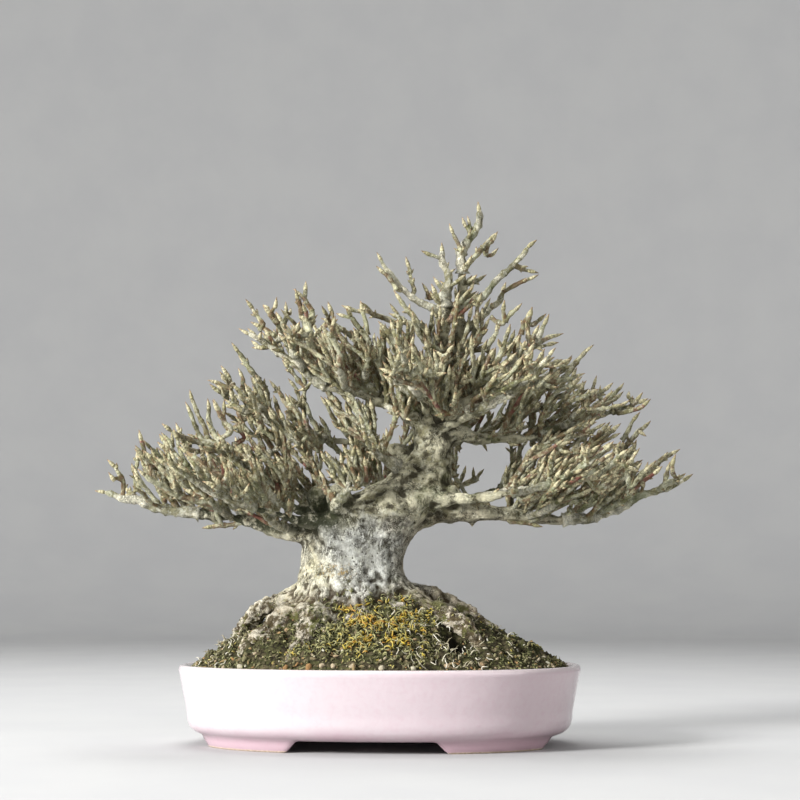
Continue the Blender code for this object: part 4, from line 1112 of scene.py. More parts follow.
def side_buds(most):
    """Opposite pairs of buds at the nodes of the twigs, each pair turned a quarter from the one before."""
    rng = random.Random(TREE_SEED + 3)
    starts, ways = [], []
    stems = [s for s in tree_lines(bpy.context.scene.bonsai_sizes.shoots) if s[2]]
    for points, radii, _ in rng.sample(stems, len(stems)):
        line, sizes = along_line(points, stretched(radii, len(points)), 1.0)
        roll = rng.uniform(0, 3.14)
        for n in range(1, int((len(line) - 6) / NODE_SPACING) + 1):
            k = int(n * NODE_SPACING)
            if k + 1 >= len(line) or rng.random() < 0.4:
                continue
            way = unit(line[k + 1] - line[k - 1])
            across = unit(np.cross(way, (0.3, 0.5, 0.8)))
            other = np.cross(way, across)
            side = across * math.cos(roll + n * math.pi / 2) + other * math.sin(roll + n * math.pi / 2)
            for hand in (-1, 1):
                if rng.random() < 0.82:
                    starts.append(line[k] + side * hand * sizes[k] * 0.5)
                    ways.append(unit(way * 0.85 + side * hand * 0.8))
        if len(starts) >= most:
            break
    return strayed(np.array(starts)), np.array(ways)


def strands(starts, ups, spans, width, curl, rng, rings=4, sides=3, kinks=0.0):
    """Thin curling threads, all at once: each leaves its start along its way and turns into two others, by
    the sine and the versine of an angle that grows along it; it thins from its width to a point. Kinks
    shift its points by as many millimetres."""
    t = np.linspace(0, 1, rings)[None, :, None]
    one = units(np.cross(ups, rng.normal(size=ups.shape)))
    two = np.cross(ups, one)
    turn = rng.uniform(0.4, 1.0, len(starts))[:, None, None] * curl
    long = spans[:, None, None]
    lines = (starts[:, None] + long / turn * np.sin(turn * t) * ups[:, None]
             + long / turn * (1 - np.cos(turn * t)) * one[:, None]
             + 0.25 * long * np.sin(2.6 * t) * two[:, None])
    lines = wander(lines, kinks, 1.8, 151)
    thinning = 1.05 - 0.9 * np.linspace(0, 1, rings) ** 2
    radii = width * thinning[None, :] * rng.uniform(0.7, 1.2, (len(starts), 1))
    return tubes(lines, radii, sides, rng.uniform(0, 6, len(starts)))


def on_mound(count, rng, low=0.01, high=0.74):
    """Points strewn over the mound, evenly for its area, with the mound's way up there."""
    edge = oval(SOIL_INSET, SOIL_EDGE, EDGE_STEPS)[rng.integers(0, EDGE_STEPS, count)]
    inward = 1 - np.sqrt(rng.uniform((1 - high) ** 2, (1 - low) ** 2, count))
    p = mound(edge[:, 0], edge[:, 1], inward)
    out = p - np.array([SOIL_CENTRE[0], SOIL_CENTRE[1], 0])
    out[:, 2] = 0
    return p, units(units(out) * 0.55 + np.array([0, 0, 1.0]))


def moss_share(p):
    """How mossy a place of the row's frame is: a patch low on the trunk's front, and drifts elsewhere."""
    q = p - np.array(SHIFT)
    patch = np.exp(-((q[:, 0] - 1) / 27) ** 2) * (1 - eased(q[:, 1], -30, -6)) * eased(q[:, 2], 41, 50)
    patch = patch * (0.25 + 0.75 * eased(crumple(p, 7, 2, 161), -0.3, 0.1))
    bare = 1 - eased(in_hollow(q), 0.15, 0.5)
    drift = (0.6 + 0.9 * crumple(p, 16, 2, 131)) * (0.55 + 1.3 * crumple(p, 5, 2, 171))
    return patch * bare, np.clip(drift, 0.05, 1) * bare


class Nodes:
    """Adds shader nodes to a tree; an input may be a value or another node's output."""

    def __init__(self, tree):
        self.tree = tree

    def add(self, kind, inputs=None, **settings):
        made = self.tree.nodes.new("ShaderNode" + kind)
        for name, value in settings.items():
            setattr(made, name, value)
        for name, value in (inputs or {}).items():
            if isinstance(value, bpy.types.NodeSocket):
                self.tree.links.new(value, made.inputs[name])
            else:
                made.inputs[name].default_value = value
        return made

    def place(self, stretch=(1, 1, 1)):
        """The point on the object, in metres, stretched along its axes."""
        at = self.add("TexCoord").outputs["Object"]
        if stretch == (1, 1, 1):
            return at
        return self.add("Mapping", {"Vector": at, "Scale": stretch}).outputs["Vector"]

    def noise(self, at, size, detail=3.0, rough=0.55, warp=0.0):
        """Noise whose main features are size millimetres wide."""
        return self.add("TexNoise", {"Vector": at, "Scale": 1000 / size, "Detail": detail, "Roughness": rough,
                                     "Distortion": warp}).outputs["Fac"]

    def cells(self, at, size, output="Distance"):
        """How far off the nearest of seeds about size millimetres apart is, in cells, or its colour."""
        return self.add("TexVoronoi", {"Vector": at, "Scale": 1000 / size}).outputs[output]

    def note(self, name):
        """A number that the mesh holds at each point."""
        return self.add("Attribute", attribute_name=name).outputs["Fac"]

    def spread(self, value, low, high, to_low=0.0, to_high=1.0):
        """Smoothly from to_low, where the value is low, to to_high, where it is high."""
        return self.add("MapRange", {"Value": value, "From Min": low, "From Max": high, "To Min": to_low,
                                     "To Max": to_high}, interpolation_type="SMOOTHSTEP").outputs["Result"]

    def calc(self, operation, a, b=0.0):
        return self.add("Math", {0: a, 1: b}, operation=operation).outputs[0]

    def plus(self, a, b):
        return self.calc("ADD", a, b)

    def times(self, *values):
        """The product of all the values."""
        return functools.reduce(lambda a, b: self.calc("MULTIPLY", a, b), values)

    def blend(self, share, a, b):
        """Colour a where the share is nought, and b where it is one."""
        made = self.add("Mix", {"Factor": share}, data_type="RGBA")
        for slot, value in ((6, a), (7, b)):
            if isinstance(value, bpy.types.NodeSocket):
                self.tree.links.new(value, made.inputs[slot])
            else:
                made.inputs[slot].default_value = (*value[:3], 1)
        return made.outputs[2]

    def ramp(self, value, stops):
        """The colour at a value between stops, each of which is a place and a colour."""
        made = self.add("ValToRGB", {"Fac": value})
        bar = made.color_ramp.elements
        while len(bar) < len(stops):
            bar.new(0.5)
        for element, (at, colour) in zip(bar, stops):
            element.position = at
            element.color = (*colour[:3], 1)
        return made.outputs["Color"]


def finish(name, draw, **settings):
    """A material: draw(nodes) gives what feeds the shader's sockets, and a height in millimetres for its
    bump; settings are the sockets' own values."""
    made = bpy.data.materials.new(name)
    made.use_nodes = True
    tree = made.node_tree
    tree.nodes.clear()
    nodes = Nodes(tree)
    fed = draw(nodes)
    height = fed.pop("Height", None)
    if height is not None:
        fed["Normal"] = nodes.add("Bump", {"Height": height, "Distance": 0.001,
                                           "Strength": 1.0}).outputs["Normal"]
    values = {key.replace("_", " "): value for key, value in settings.items()}
    shader = nodes.add("BsdfPrincipled", {**values, **fed})
    nodes.add("OutputMaterial", {"Surface": shader.outputs[0]})
    made.diffuse_color = (0.5, 0.5, 0.5, 1)
    return made


def group(name, inputs, outputs, draw):
    """A node group with named inputs and outputs, made once."""
    known = bpy.data.node_groups.get(name)
    if known:
        return known
    tree = bpy.data.node_groups.new(name, "ShaderNodeTree")
    for label, kind, value in inputs:
        socket = tree.interface.new_socket(label, in_out="INPUT", socket_type=kind)
        socket.default_value = value
    for label, kind in outputs:
        tree.interface.new_socket(label, in_out="OUTPUT", socket_type=kind)
    nodes = Nodes(tree)
    given = tree.nodes.new("NodeGroupInput").outputs
    results = draw(nodes, given)
    out = tree.nodes.new("NodeGroupOutput")
    for label, socket in results.items():
        tree.links.new(socket, out.inputs[label])
    return tree


def draw_bark(nodes, given):
    """Pale and middle tones in broad drifts, deep tones in upright cracks and pits, and crusts of lichen."""
    at = nodes.place()
    upright = nodes.place((1, 1, 0.45))
    broad = nodes.noise(at, 15, 5, 0.7, 0.8)
    crust = nodes.noise(at, 3.0, 6, 0.78)
    colour = nodes.blend(nodes.spread(broad, 0.42, 0.58), given["Mid"], given["Pale"])
    speck = nodes.noise(at, 1.6, 6, 0.78)
    colour = nodes.blend(nodes.spread(speck, 0.5, 0.6, 0, 0.6), colour, given["Mid"])
    lichen = nodes.times(nodes.spread(crust, 0.51, 0.55), given["Lichen"])
    colour = nodes.blend(lichen, colour, given["Crust"])
    where = nodes.spread(nodes.noise(at, 8, 3), 0.38, 0.6, 0.2, 1)
    long = nodes.calc("ABSOLUTE", nodes.calc("SUBTRACT", nodes.noise(upright, 3.0, 5, 0.65, 1.0), 0.5))
    short = nodes.calc("ABSOLUTE", nodes.calc("SUBTRACT", nodes.noise(at, 1.7, 4, 0.7, 0.6), 0.5))
    crack = nodes.calc("MAXIMUM", nodes.spread(long, 0.0, 0.05, 1, 0),
                       nodes.spread(short, 0.0, 0.045, 0.9, 0))
    crack = nodes.times(crack, where)
    colour = nodes.blend(nodes.times(crack, given["Cracks"]), colour, given["Deep"])
    pits = nodes.times(nodes.spread(nodes.cells(at, 1.9), 0.12, 0.3, 1, 0),
                       nodes.spread(nodes.cells(at, 1.9, "Color"), 0.42, 0.5), given["Pits"])
    colour = nodes.blend(pits, colour, given["Deep"])
    green = nodes.spread(nodes.noise(at, 22, 3, 0.6), 0.5, 0.68)
    colour = nodes.blend(nodes.times(green, given["Algae"]), colour, (0.13, 0.17, 0.045))
    height = nodes.times(crack, -0.45)
    height = nodes.plus(height, nodes.times(nodes.spread(crust, 0.42, 0.58), 0.4))
    height = nodes.plus(height, nodes.times(nodes.noise(at, 1.1, 4, 0.7), 0.7))
    height = nodes.calc("SUBTRACT", height, nodes.times(pits, 0.5))
    rough = nodes.spread(crust, 0.4, 0.7, 0.72, 0.95)
    return {"Colour": colour, "Height": height, "Roughness": rough}


def bark_group():
    """The bark's node group, with its colours and the strengths of its marks."""
    colour, number = "NodeSocketColor", "NodeSocketFloat"
    inputs = [("Pale", colour, (0.5, 0.5, 0.34, 1)), ("Mid", colour, (0.22, 0.24, 0.19, 1)),
              ("Deep", colour, (0.05, 0.04, 0.025, 1)), ("Crust", colour, (0.62, 0.62, 0.5, 1)),
              ("Cracks", number, 0.8), ("Lichen", number, 0.5), ("Pits", number, 0.5), ("Algae", number, 0.4)]
    outputs = [("Colour", colour), ("Height", number), ("Roughness", number)]
    return group("weathered bark", inputs, outputs, draw_bark)


def barked(nodes, **values):
    """The bark group placed in a material with its own values."""
    made = nodes.add("Group", node_tree=bark_group())
    for name, value in values.items():
        socket = made.inputs[name]
        if isinstance(value, bpy.types.NodeSocket):
            nodes.tree.links.new(value, socket)
        else:
            socket.default_value = (*value[:3], 1) if hasattr(value, "__len__") else value
    return made.outputs


def trunk_finish(colours):
    """Bark whose tones drift from cream on the left by bluish white to tan on the right and change with
    height, with painted shade in its hollows and brown soil in them low down, painted highlights on its
    ridges, patches of soil and moss on the low roots, and a band of painted shade in a dark algal green
    under the crown."""
    def draw(nodes):
        at = nodes.place()
        x, _, z = nodes.add("SeparateXYZ", {"Vector": at}).outputs
        drifted = nodes.plus(x, nodes.times(nodes.noise(at, 18, 4), 0.05))
        pale = nodes.blend(nodes.spread(drifted, -0.022, 0.008), colours.bark_pale, colours.bark_white)
        pale = nodes.blend(nodes.spread(drifted, 0.018, 0.042), pale, colours.bark_tan)
        middle = nodes.blend(nodes.spread(drifted, -0.018, 0.004), colours.bark_cream, colours.bark_grey)
        middle = nodes.blend(nodes.spread(drifted, 0.02, 0.042), middle, colours.bark_brown)
        upper = nodes.spread(nodes.plus(z, nodes.times(nodes.noise(at, 10, 4, 0.7), 0.03)), 0.117, 0.132)
        foot = nodes.spread(z, 0.064, 0.082, 0.7, 0)
        for share, light, dark in ((upper, (0.74, 0.7, 0.5), (0.25, 0.23, 0.13)),
                                   (foot, (0.78, 0.69, 0.56), (0.27, 0.2, 0.12))):
            pale = nodes.blend(share, pale, light)
            middle = nodes.blend(share, middle, dark)
        bark = barked(nodes, Pale=pale, Mid=middle, Deep=colours.bark_deep, Cracks=1.0, Lichen=0.4, Pits=0.9,
                      Algae=0.3)
        hollow = nodes.note("hollow")
        # Painted highlight: raised places are painted towards the pale tone.
        colour = nodes.blend(nodes.spread(hollow, -0.45, -0.08, 0.55, 0), bark["Colour"], pale)
        # Hollows are darkened: painted shade, near black high up, and brown soil caught in them low down.
        earth_and_painted_shade = nodes.blend(nodes.spread(z, 0.066, 0.084, 1, 0), colours.bark_deep, (0.075, 0.045, 0.022))
        colour = nodes.blend(nodes.spread(hollow, 0.04, 0.36, 0, 0.85), colour, earth_and_painted_shade)
        ragged = nodes.plus(z, nodes.times(nodes.noise(at, 16, 4, 0.7), -0.05))
        low = nodes.spread(nodes.plus(ragged, nodes.spread(x, -0.078, -0.05, -0.016, 0)), 0.034, 0.06, 1, 0)
        soil = nodes.spread(nodes.noise(at, 5, 6, 0.75), 0.48, 0.56)
        colour = nodes.blend(nodes.times(low, soil), colour, (0.1, 0.075, 0.035))
        moss = nodes.spread(nodes.noise(at, 9, 6, 0.75, 0.5), 0.53, 0.59)
        colour = nodes.blend(nodes.times(low, moss), colour, (0.15, 0.15, 0.045))
        # Painted shade: a dark green band on the trunk's left side, where the low left limb and the crown
        # cast their shadow.
        algae_and_painted_shade = nodes.times(nodes.spread(z, 0.1, 0.108), nodes.spread(z, 0.118, 0.13, 1, 0),
                            nodes.spread(x, -0.03, -0.012, 0.9, 0),
                            nodes.spread(nodes.noise(at, 5, 5, 0.7), 0.4, 0.5))
        colour = nodes.blend(algae_and_painted_shade, colour, (0.035, 0.042, 0.016))
        rust = nodes.times(nodes.spread(z, 0.08, 0.084), nodes.spread(z, 0.086, 0.09, 1, 0),
                           nodes.spread(nodes.calc("ABSOLUTE", nodes.plus(x, 0.028)), 0.006, 0.014, 1, 0),
                           nodes.spread(nodes.noise(at, 1.8, 6, 0.8), 0.5, 0.6, 0, 0.75))
        colour = nodes.blend(rust, colour, (0.42, 0.27, 0.06))
        return {"Base Color": colour, "Roughness": bark["Roughness"], "Height": bark["Height"]}

    return finish("maple bark", draw, Specular_IOR_Level=0.25)


def twig_finish(name, pale, lichen, algae_and_painted_shade, colours):
    """Olive brown bark under a paler crust, warmer on some twigs, red on a few young shoots and greyer on
    thick stems."""
    def draw(nodes):
        bark = barked(nodes, Pale=pale, Mid=colours.twig_middle, Deep=colours.bark_deep, Cracks=0.65,
                      Lichen=lichen, Pits=0.35, Algae=algae_and_painted_shade)
        at, tint, girth = nodes.place(), nodes.note("chance"), nodes.note("girth")
        warm = nodes.times(nodes.spread(tint, 0.2, 0.85, 0, 0.75),
                           nodes.spread(nodes.noise(at, 4, 4, 0.7), 0.42, 0.58))
        colour = nodes.blend(warm, bark["Colour"], (0.24, 0.13, 0.06))
        young = nodes.times(nodes.spread(tint, 0.915, 0.935), nodes.spread(girth, 1.15, 1.45, 1, 0),
                            nodes.spread(nodes.noise(at, 6, 3), 0.42, 0.58, 0, 0.8))
        colour = nodes.blend(young, colour, colours.shoot_red)
        colour = nodes.blend(nodes.spread(girth, 1.2, 3.0, 0.0, 0.15), colour, colours.bark_grey)
        return {"Base Color": colour, "Roughness": bark["Roughness"], "Height": bark["Height"]}

    return finish(name, draw, Specular_IOR_Level=0.3)


def bud_finish(colours):
    """Cream scales with dark edges along the bud, browner towards its tip and on some buds throughout."""
    def draw(nodes):
        share, tint = nodes.note("share"), nodes.note("chance")
        scales = nodes.calc("PINGPONG", nodes.plus(nodes.times(share, 4.0), tint), 0.5)
        colour = nodes.blend(nodes.spread(tint, 0.35, 1.0, 0, 0.7), colours.bud_base, colours.twig_middle)
        colour = nodes.blend(nodes.spread(share, 0.55, 1.0, 0, 0.9), colour, colours.bud_tip)
        colour = nodes.blend(nodes.spread(scales, 0.38, 0.5, 0, 0.5), colour, colours.bark_deep)
        grain = nodes.noise(nodes.place(), 1.3, 4, 0.7)
        colour = nodes.blend(nodes.spread(grain, 0.48, 0.62, 0, 0.7), colour, colours.bark_deep)
        return {"Base Color": colour, "Height": nodes.times(scales, 0.3)}

    return finish("bud scales", draw, Roughness=0.6, Specular_IOR_Level=0.35)


def glaze_finish(colours):
    """Clouded pink glaze: paler on the left, a painted highlight of the light from that side, and pinker on
    the right; deeper where it pools near the feet, thin on the lip, with rare dark spots, and bare clay
    where the feet stand."""
    def draw(nodes):
        at = nodes.place()
        x, _, z = nodes.add("SeparateXYZ", {"Vector": at}).outputs
        cloud = nodes.noise(at, 34, 3, 0.5)
        height = nodes.plus(z, nodes.times(nodes.calc("SUBTRACT", cloud, 0.5), 0.012))
        pooled = nodes.spread(height, 0.0035, 0.0125, 1, 0)
        # Painted highlight: the glaze is painted paler towards the left, where the light falls, and pinker
        # towards the right.
        tint = nodes.spread(nodes.plus(x, nodes.times(cloud, 0.05)), -0.1, 0.11, 0, 0.6)
        colour = nodes.blend(tint, colours.glaze_light, colours.glaze_pink)
        colour = nodes.blend(nodes.times(pooled, 0.6), colour, colours.glaze_deep)
        mottle = nodes.noise(at, 2.6, 4, 0.6)
        colour = nodes.blend(nodes.spread(mottle, 0.4, 0.75, 0, 0.16), colour, colours.glaze_deep)
        thin = nodes.spread(z, 0.0368, 0.0392, 0, 0.35)
        colour = nodes.blend(thin, colour, (0.75, 0.7, 0.67))
        spots = nodes.add("TexVoronoi", {"Vector": at, "Scale": 42}).outputs
        rare = nodes.spread(spots["Distance"], 0.018, 0.03, 0.85, 0)
        colour = nodes.blend(rare, colour, (0.12, 0.08, 0.07))
        bare = nodes.spread(nodes.plus(z, nodes.times(mottle, 0.0006)), 0.0007, 0.0014, 1, 0)
        grit = nodes.spread(nodes.noise(at, 0.8, 2), 0.4, 0.6)
        colour = nodes.blend(bare, colour, nodes.blend(grit, (0.62, 0.5, 0.38), (0.45, 0.34, 0.24)))
        rough = nodes.spread(bare, 0, 1, 0.17, 0.85)
        wave = nodes.plus(nodes.times(nodes.noise(at, 9, 2), 0.22), nodes.times(mottle, 0.03))
        dent = nodes.calc("SUBTRACT", wave, nodes.times(rare, 0.15))
        return {"Base Color": colour, "Roughness": rough, "Height": dent}

    return finish("pink glaze", draw, Specular_IOR_Level=0.55, IOR=1.5, Coat_Weight=0.25, Coat_Roughness=0.08)


def soil_finish(colours):
    """Clods of several browns with painted shade, near black, in the gaps between them, an algal film in
    drifts and fine dust, and painted shade, near black, in the hollow."""
    def draw(nodes):
        at = nodes.place()
        browns = [(0.0, colours.soil_dark), (0.35, (0.06, 0.05, 0.027)), (0.7, (0.11, 0.09, 0.05)),
                  (1.0, colours.soil_light)]
        clods = nodes.ramp(nodes.cells(at, 2.9, "Color"), browns)
        # Painted shade: the gaps between the clods are darkened almost to black.
        gaps = nodes.spread(nodes.cells(at, 2.9), 0.35, 0.75)
        colour = nodes.blend(gaps, clods, (0.018, 0.015, 0.008))
        film = nodes.spread(nodes.noise(at, 6, 5, 0.75), 0.46, 0.56, 0, 0.9)
        green = nodes.spread(nodes.noise(at, 3, 4, 0.7), 0.4, 0.65)
        colour = nodes.blend(film, colour, nodes.blend(green, (0.022, 0.026, 0.009), (0.075, 0.075, 0.028)))
        fine = nodes.noise(at, 0.8, 5, 0.75)
        colour = nodes.blend(nodes.spread(fine, 0.55, 0.75, 0, 0.4), colour, (0.24, 0.22, 0.13))
        # Painted shade: the deep hollow in front of the right root is painted near black.
        hollow = nodes.spread(nodes.note("hollow"), 0.12, 0.55, 0, 0.95)
        colour = nodes.blend(hollow, colour, (0.006, 0.005, 0.003))
        height = nodes.plus(nodes.times(fine, 0.8), nodes.times(nodes.noise(at, 2.2, 4), 0.9))
        return {"Base Color": colour, "Height": height}

    return finish("granular soil", draw, Roughness=0.95, Specular_IOR_Level=0.15)


def grain_finish():
    """Each grain in a brown of its own, finely speckled."""
    def draw(nodes):
        colour = nodes.ramp(nodes.note("chance"), [(0.0, (0.045, 0.04, 0.02)), (0.4, (0.12, 0.11, 0.055)),
                                                   (0.7, (0.24, 0.22, 0.12)), (0.86, (0.3, 0.17, 0.07)),
                                                   (1.0, (0.52, 0.5, 0.38))])
        fine = nodes.noise(nodes.place(), 0.7, 4, 0.7)
        colour = nodes.blend(nodes.spread(fine, 0.45, 0.7, 0, 0.6), colour, (0.06, 0.055, 0.025))
        return {"Base Color": colour, "Height": nodes.times(fine, 0.5)}

    return finish("soil grains", draw, Roughness=0.9, Specular_IOR_Level=0.2)


def moss_finish(colours):
    """Each strand in a green, yellow or rust of its own, dark at its root and paler towards its tip."""
    def draw(nodes):
        tint, share = nodes.note("chance"), nodes.note("share")
        greens = [(0.0, (0.05, 0.055, 0.025)), (0.22, colours.moss_deep), (0.5, (0.3, 0.29, 0.14)),
                  (0.76, colours.moss_bright), (1.0, (0.4, 0.19, 0.03))]
        colour = nodes.ramp(tint, greens)
        colour = nodes.blend(nodes.spread(share, 0.3, 1.0, 0, 0.4), colour, (0.5, 0.47, 0.24))
        colour = nodes.blend(nodes.spread(share, 0.0, 0.5, 0.95, 0), colour, (0.03, 0.03, 0.012))
        return {"Base Color": colour, "Roughness": nodes.spread(tint, 0, 1, 0.75, 0.9)}

    return finish("curled moss", draw, Specular_IOR_Level=0.2)


def litter_finish():
    """Each fibre in a straw colour of its own."""
    def draw(nodes):
        colour = nodes.ramp(nodes.note("chance"), [(0.0, (0.2, 0.17, 0.1)), (0.45, (0.42, 0.38, 0.26)),
                                                   (1.0, (0.72, 0.69, 0.58))])
        fine = nodes.noise(nodes.place(), 0.6, 3)
        colour = nodes.blend(nodes.spread(fine, 0.5, 0.8, 0, 0.5), colour, (0.25, 0.22, 0.13))
        return {"Base Color": colour, "Height": nodes.times(fine, 0.2)}

    return finish("dry fibres", draw, Roughness=0.85)


def screen_finish():
    """Black-green plastic."""
    def draw(nodes):
        fine = nodes.noise(nodes.place(), 0.5, 3)
        colour = nodes.blend(nodes.spread(fine, 0.3, 0.7), (0.008, 0.011, 0.009), (0.02, 0.026, 0.02))
        return {"Base Color": colour, "Roughness": nodes.spread(fine, 0.3, 0.7, 0.5, 0.7),
                "Height": nodes.times(fine, 0.08)}

    return finish("screen plastic", draw)


def wire_finish():
    """Drawn wire, brushed along its length."""
    def draw(nodes):
        drawn = nodes.noise(nodes.place((0.15, 1, 1)), 0.3, 3)
        colour = nodes.blend(nodes.spread(drawn, 0.35, 0.65), (0.42, 0.42, 0.42), (0.6, 0.6, 0.59))
        return {"Base Color": colour, "Roughness": nodes.spread(drawn, 0.3, 0.7, 0.35, 0.55)}

    return finish("aluminium wire", draw, Metallic=1.0)


def paper_finish():
    """Pale paper, very slightly clouded."""
    def draw(nodes):
        cloud = nodes.spread(nodes.noise(nodes.place(), 90), 0.3, 0.7)
        return {"Base Color": nodes.blend(cloud, (0.45, 0.45, 0.45), (0.47, 0.47, 0.465))}

    return finish("pale paper", draw, Roughness=0.85)


def how_many(name, description, default, most, least=0):
    """A number of things that a user can change."""
    return bpy.props.IntProperty(name=name, description=description, default=default, min=least, max=most,
                                 subtype="UNSIGNED")


def shade(name, description, default):
    """A colour that a user can change."""
    return bpy.props.FloatVectorProperty(name=name, description=description, default=default, size=3,
                                         subtype="COLOR", min=0, max=1)


class BonsaiSizes(bpy.types.PropertyGroup):
    """How fine the pieces are and how many of the small ones there are."""

    shoots: how_many("Fine shoots", "Shoots grown between the solids' twigs", 950, 4000)
    bark_grain: bpy.props.FloatProperty(name="Bark grain", description="Spacing of the trunk's points",
                                        default=1.05 * MM, min=0.5 * MM, max=3 * MM, unit="LENGTH",
                                        subtype="DISTANCE")
    side_buds: how_many("Side buds", "Buds at the nodes of the twigs", 2400, 12000)
    pot_steps: how_many("Pot steps", "Steps round the pot's outline", 280, 800, 40)
    moss: how_many("Moss strands", "Curling strands of moss", 7000, 20000)
    grains: how_many("Grains", "Loose grains on the mound", 1100, 6000)
    fibres: how_many("Dry fibres", "Pale dry fibres on the mound", 270, 3000)


class BonsaiColours(bpy.types.PropertyGroup):
    """The colours of glaze, bark, buds, moss and soil."""

    # glaze_light is painted on the pot's left side as a painted highlight, and glaze_pink on its right side.
    glaze_light: shade("Glaze, light", "The glaze where it is thin and lit", (0.53, 0.485, 0.5))
    glaze_pink: shade("Glaze, pink", "The glaze's pink side", (0.5, 0.37, 0.405))
    glaze_deep: shade("Glaze, deep", "The glaze where it pools", (0.45, 0.26, 0.315))
    bark_pale: shade("Bark, pale", "Cream-white bark", (0.92, 0.87, 0.68))
    bark_cream: shade("Bark, cream", "Yellowish bark on the left", (0.74, 0.68, 0.47))
    bark_tan: shade("Bark, tan", "Tan bark", (0.64, 0.56, 0.4))
    bark_grey: shade("Bark, grey", "Blue-grey bark", (0.5, 0.5, 0.45))
    bark_brown: shade("Bark, brown", "Brown bark on the right", (0.3, 0.245, 0.155))
    bark_deep: shade("Bark, deep", "Cracks and pits in the bark", (0.04, 0.032, 0.016))
    twig_pale: shade("Twig, pale", "The lit crust of the twigs", (0.7, 0.685, 0.45))
    twig_middle: shade("Twig, middle", "The twigs' own olive brown", (0.23, 0.212, 0.1))
    bark_white: shade("Bark, white", "Bluish white bark in the middle", (0.87, 0.88, 0.81))
    shoot_red: shade("Shoot, red", "The few young red shoots", (0.24, 0.075, 0.06))
    bud_base: shade("Bud, base", "The buds' cream scales", (0.46, 0.42, 0.26))
    bud_tip: shade("Bud, tip", "The buds' brown tips", (0.24, 0.13, 0.06))
    moss_bright: shade("Moss, bright", "Yellow moss", (0.46, 0.34, 0.03))
    moss_deep: shade("Moss, deep", "Green moss", (0.1, 0.105, 0.035))
    soil_dark: shade("Soil, dark", "Damp grains", (0.035, 0.028, 0.015))
    soil_light: shade("Soil, light", "Dry grains", (0.3, 0.24, 0.14))


class BONSAI_OT_pot(bpy.types.Operator):
    """Makes the oval glazed pot with its lip, four feet and two drain holes."""

    bl_idname = "bonsai.pot"
    bl_label = "Pot"

    def execute(self, context):
        glaze = glaze_finish(context.scene.bonsai_colours)
        points, faces = pot_surface(context.scene.bonsai_sizes.pot_steps)
        make_piece("glazed_pot", "glaze", "pot", glaze, potted(points), faces)
        return {"FINISHED"}


@functools.lru_cache(maxsize=2)
def trunk_kept(voxel):
    """The trunk's points, quads and normals in the row's frame."""
    points, faces = trunk_surface(voxel)
    points = rowed(points)
    return points, faces, outward(points, faces)


class BONSAI_OT_trunk(bpy.types.Operator):
    """Makes the trunk with its surface roots, burls and the thick parts of its limbs."""

    bl_idname = "bonsai.trunk"
    bl_label = "Trunk and roots"

    def execute(self, context):
        bark = trunk_finish(context.scene.bonsai_colours)
        points, faces, _ = trunk_kept(context.scene.bonsai_sizes.bark_grain / MM)
        make_piece("trunk_and_roots", "bark", "tree", bark, points, faces, hollow=hollows(points, faces))
        return {"FINISHED"}


class BONSAI_OT_limbs(bpy.types.Operator):
    """Makes the limbs beyond the trunk's skin, and their side branches."""

    bl_idname = "bonsai.limbs"
    bl_label = "Limbs"

    def execute(self, context):
        colours = context.scene.bonsai_colours
        bark = twig_finish("limb bark", colours.bark_pale, lichen=0.7, algae_and_painted_shade=0.5, colours=colours)
        points, quads, tris, notes, girth = stem_tubes(limb_stems(), spacing=1.7, sides=10, relief=0.22)
        make_piece("limbs", "bark", "tree", bark, rowed(points), quads, tris, chance=notes, girth=girth)
        return {"FINISHED"}


class BONSAI_OT_twigs(bpy.types.Operator):
    """Makes the twigs and fine shoots, in three pieces."""

    bl_idname = "bonsai.twigs"
    bl_label = "Twigs"

    def execute(self, context):
        colours = context.scene.bonsai_colours
        bark = twig_finish("twig bark", colours.twig_pale, lichen=0.6, algae_and_painted_shade=0.35, colours=colours)
        shares = {"twigs_left": [], "twigs_right": [], "twigs_top": []}
        for stem in twig_stems():
            x, _, z = stem[0][0]
            name = "twigs_top" if z > TOP_FROM else "twigs_left" if x < MIDDLE else "twigs_right"
            shares[name].append(stem)
        for name, stems in shares.items():
            points, quads, tris, notes, girth = stem_tubes(stems, spacing=1.6, sides=6, relief=0.3)
            make_piece(name, "bark", "tree", bark, rowed(points), quads, tris, chance=notes, girth=girth)
        return {"FINISHED"}


class BONSAI_OT_buds(bpy.types.Operator):
    """Makes the pointed buds at the twigs' ends and the opposite pairs along them."""

    bl_idname = "bonsai.buds"
    bl_label = "Buds"

    def execute(self, context):
        rng = np.random.default_rng(TREE_SEED)
        bark = bud_finish(context.scene.bonsai_colours)
        starts, ways, long = end_buds()
        pairs, leans = side_buds(context.scene.bonsai_sizes.side_buds)
        thick = rng.uniform(0.98, 1.25, len(starts))
        short = rng.uniform(2.2, 3.8, len(pairs))
        thin = rng.uniform(0.6, 0.85, len(pairs))
        for name, buds, profile in (("end_buds", (starts, ways, long, thick), (0.78, 1.0, 0.86, 0.46, 0.07)),
                                    ("side_buds", (pairs, leans, short, thin), (0.9, 1.0, 0.15))):
            points, quads, tris, share = spindles(*buds, profile, sides=5, bend=0.06, rng=rng)
            tint = np.repeat(rng.random(len(buds[0])), len(points) // len(buds[0]))
            make_piece(name, "bark", "tree", bark, rowed(points), quads, tris, share=share, chance=tint)
        return {"FINISHED"}


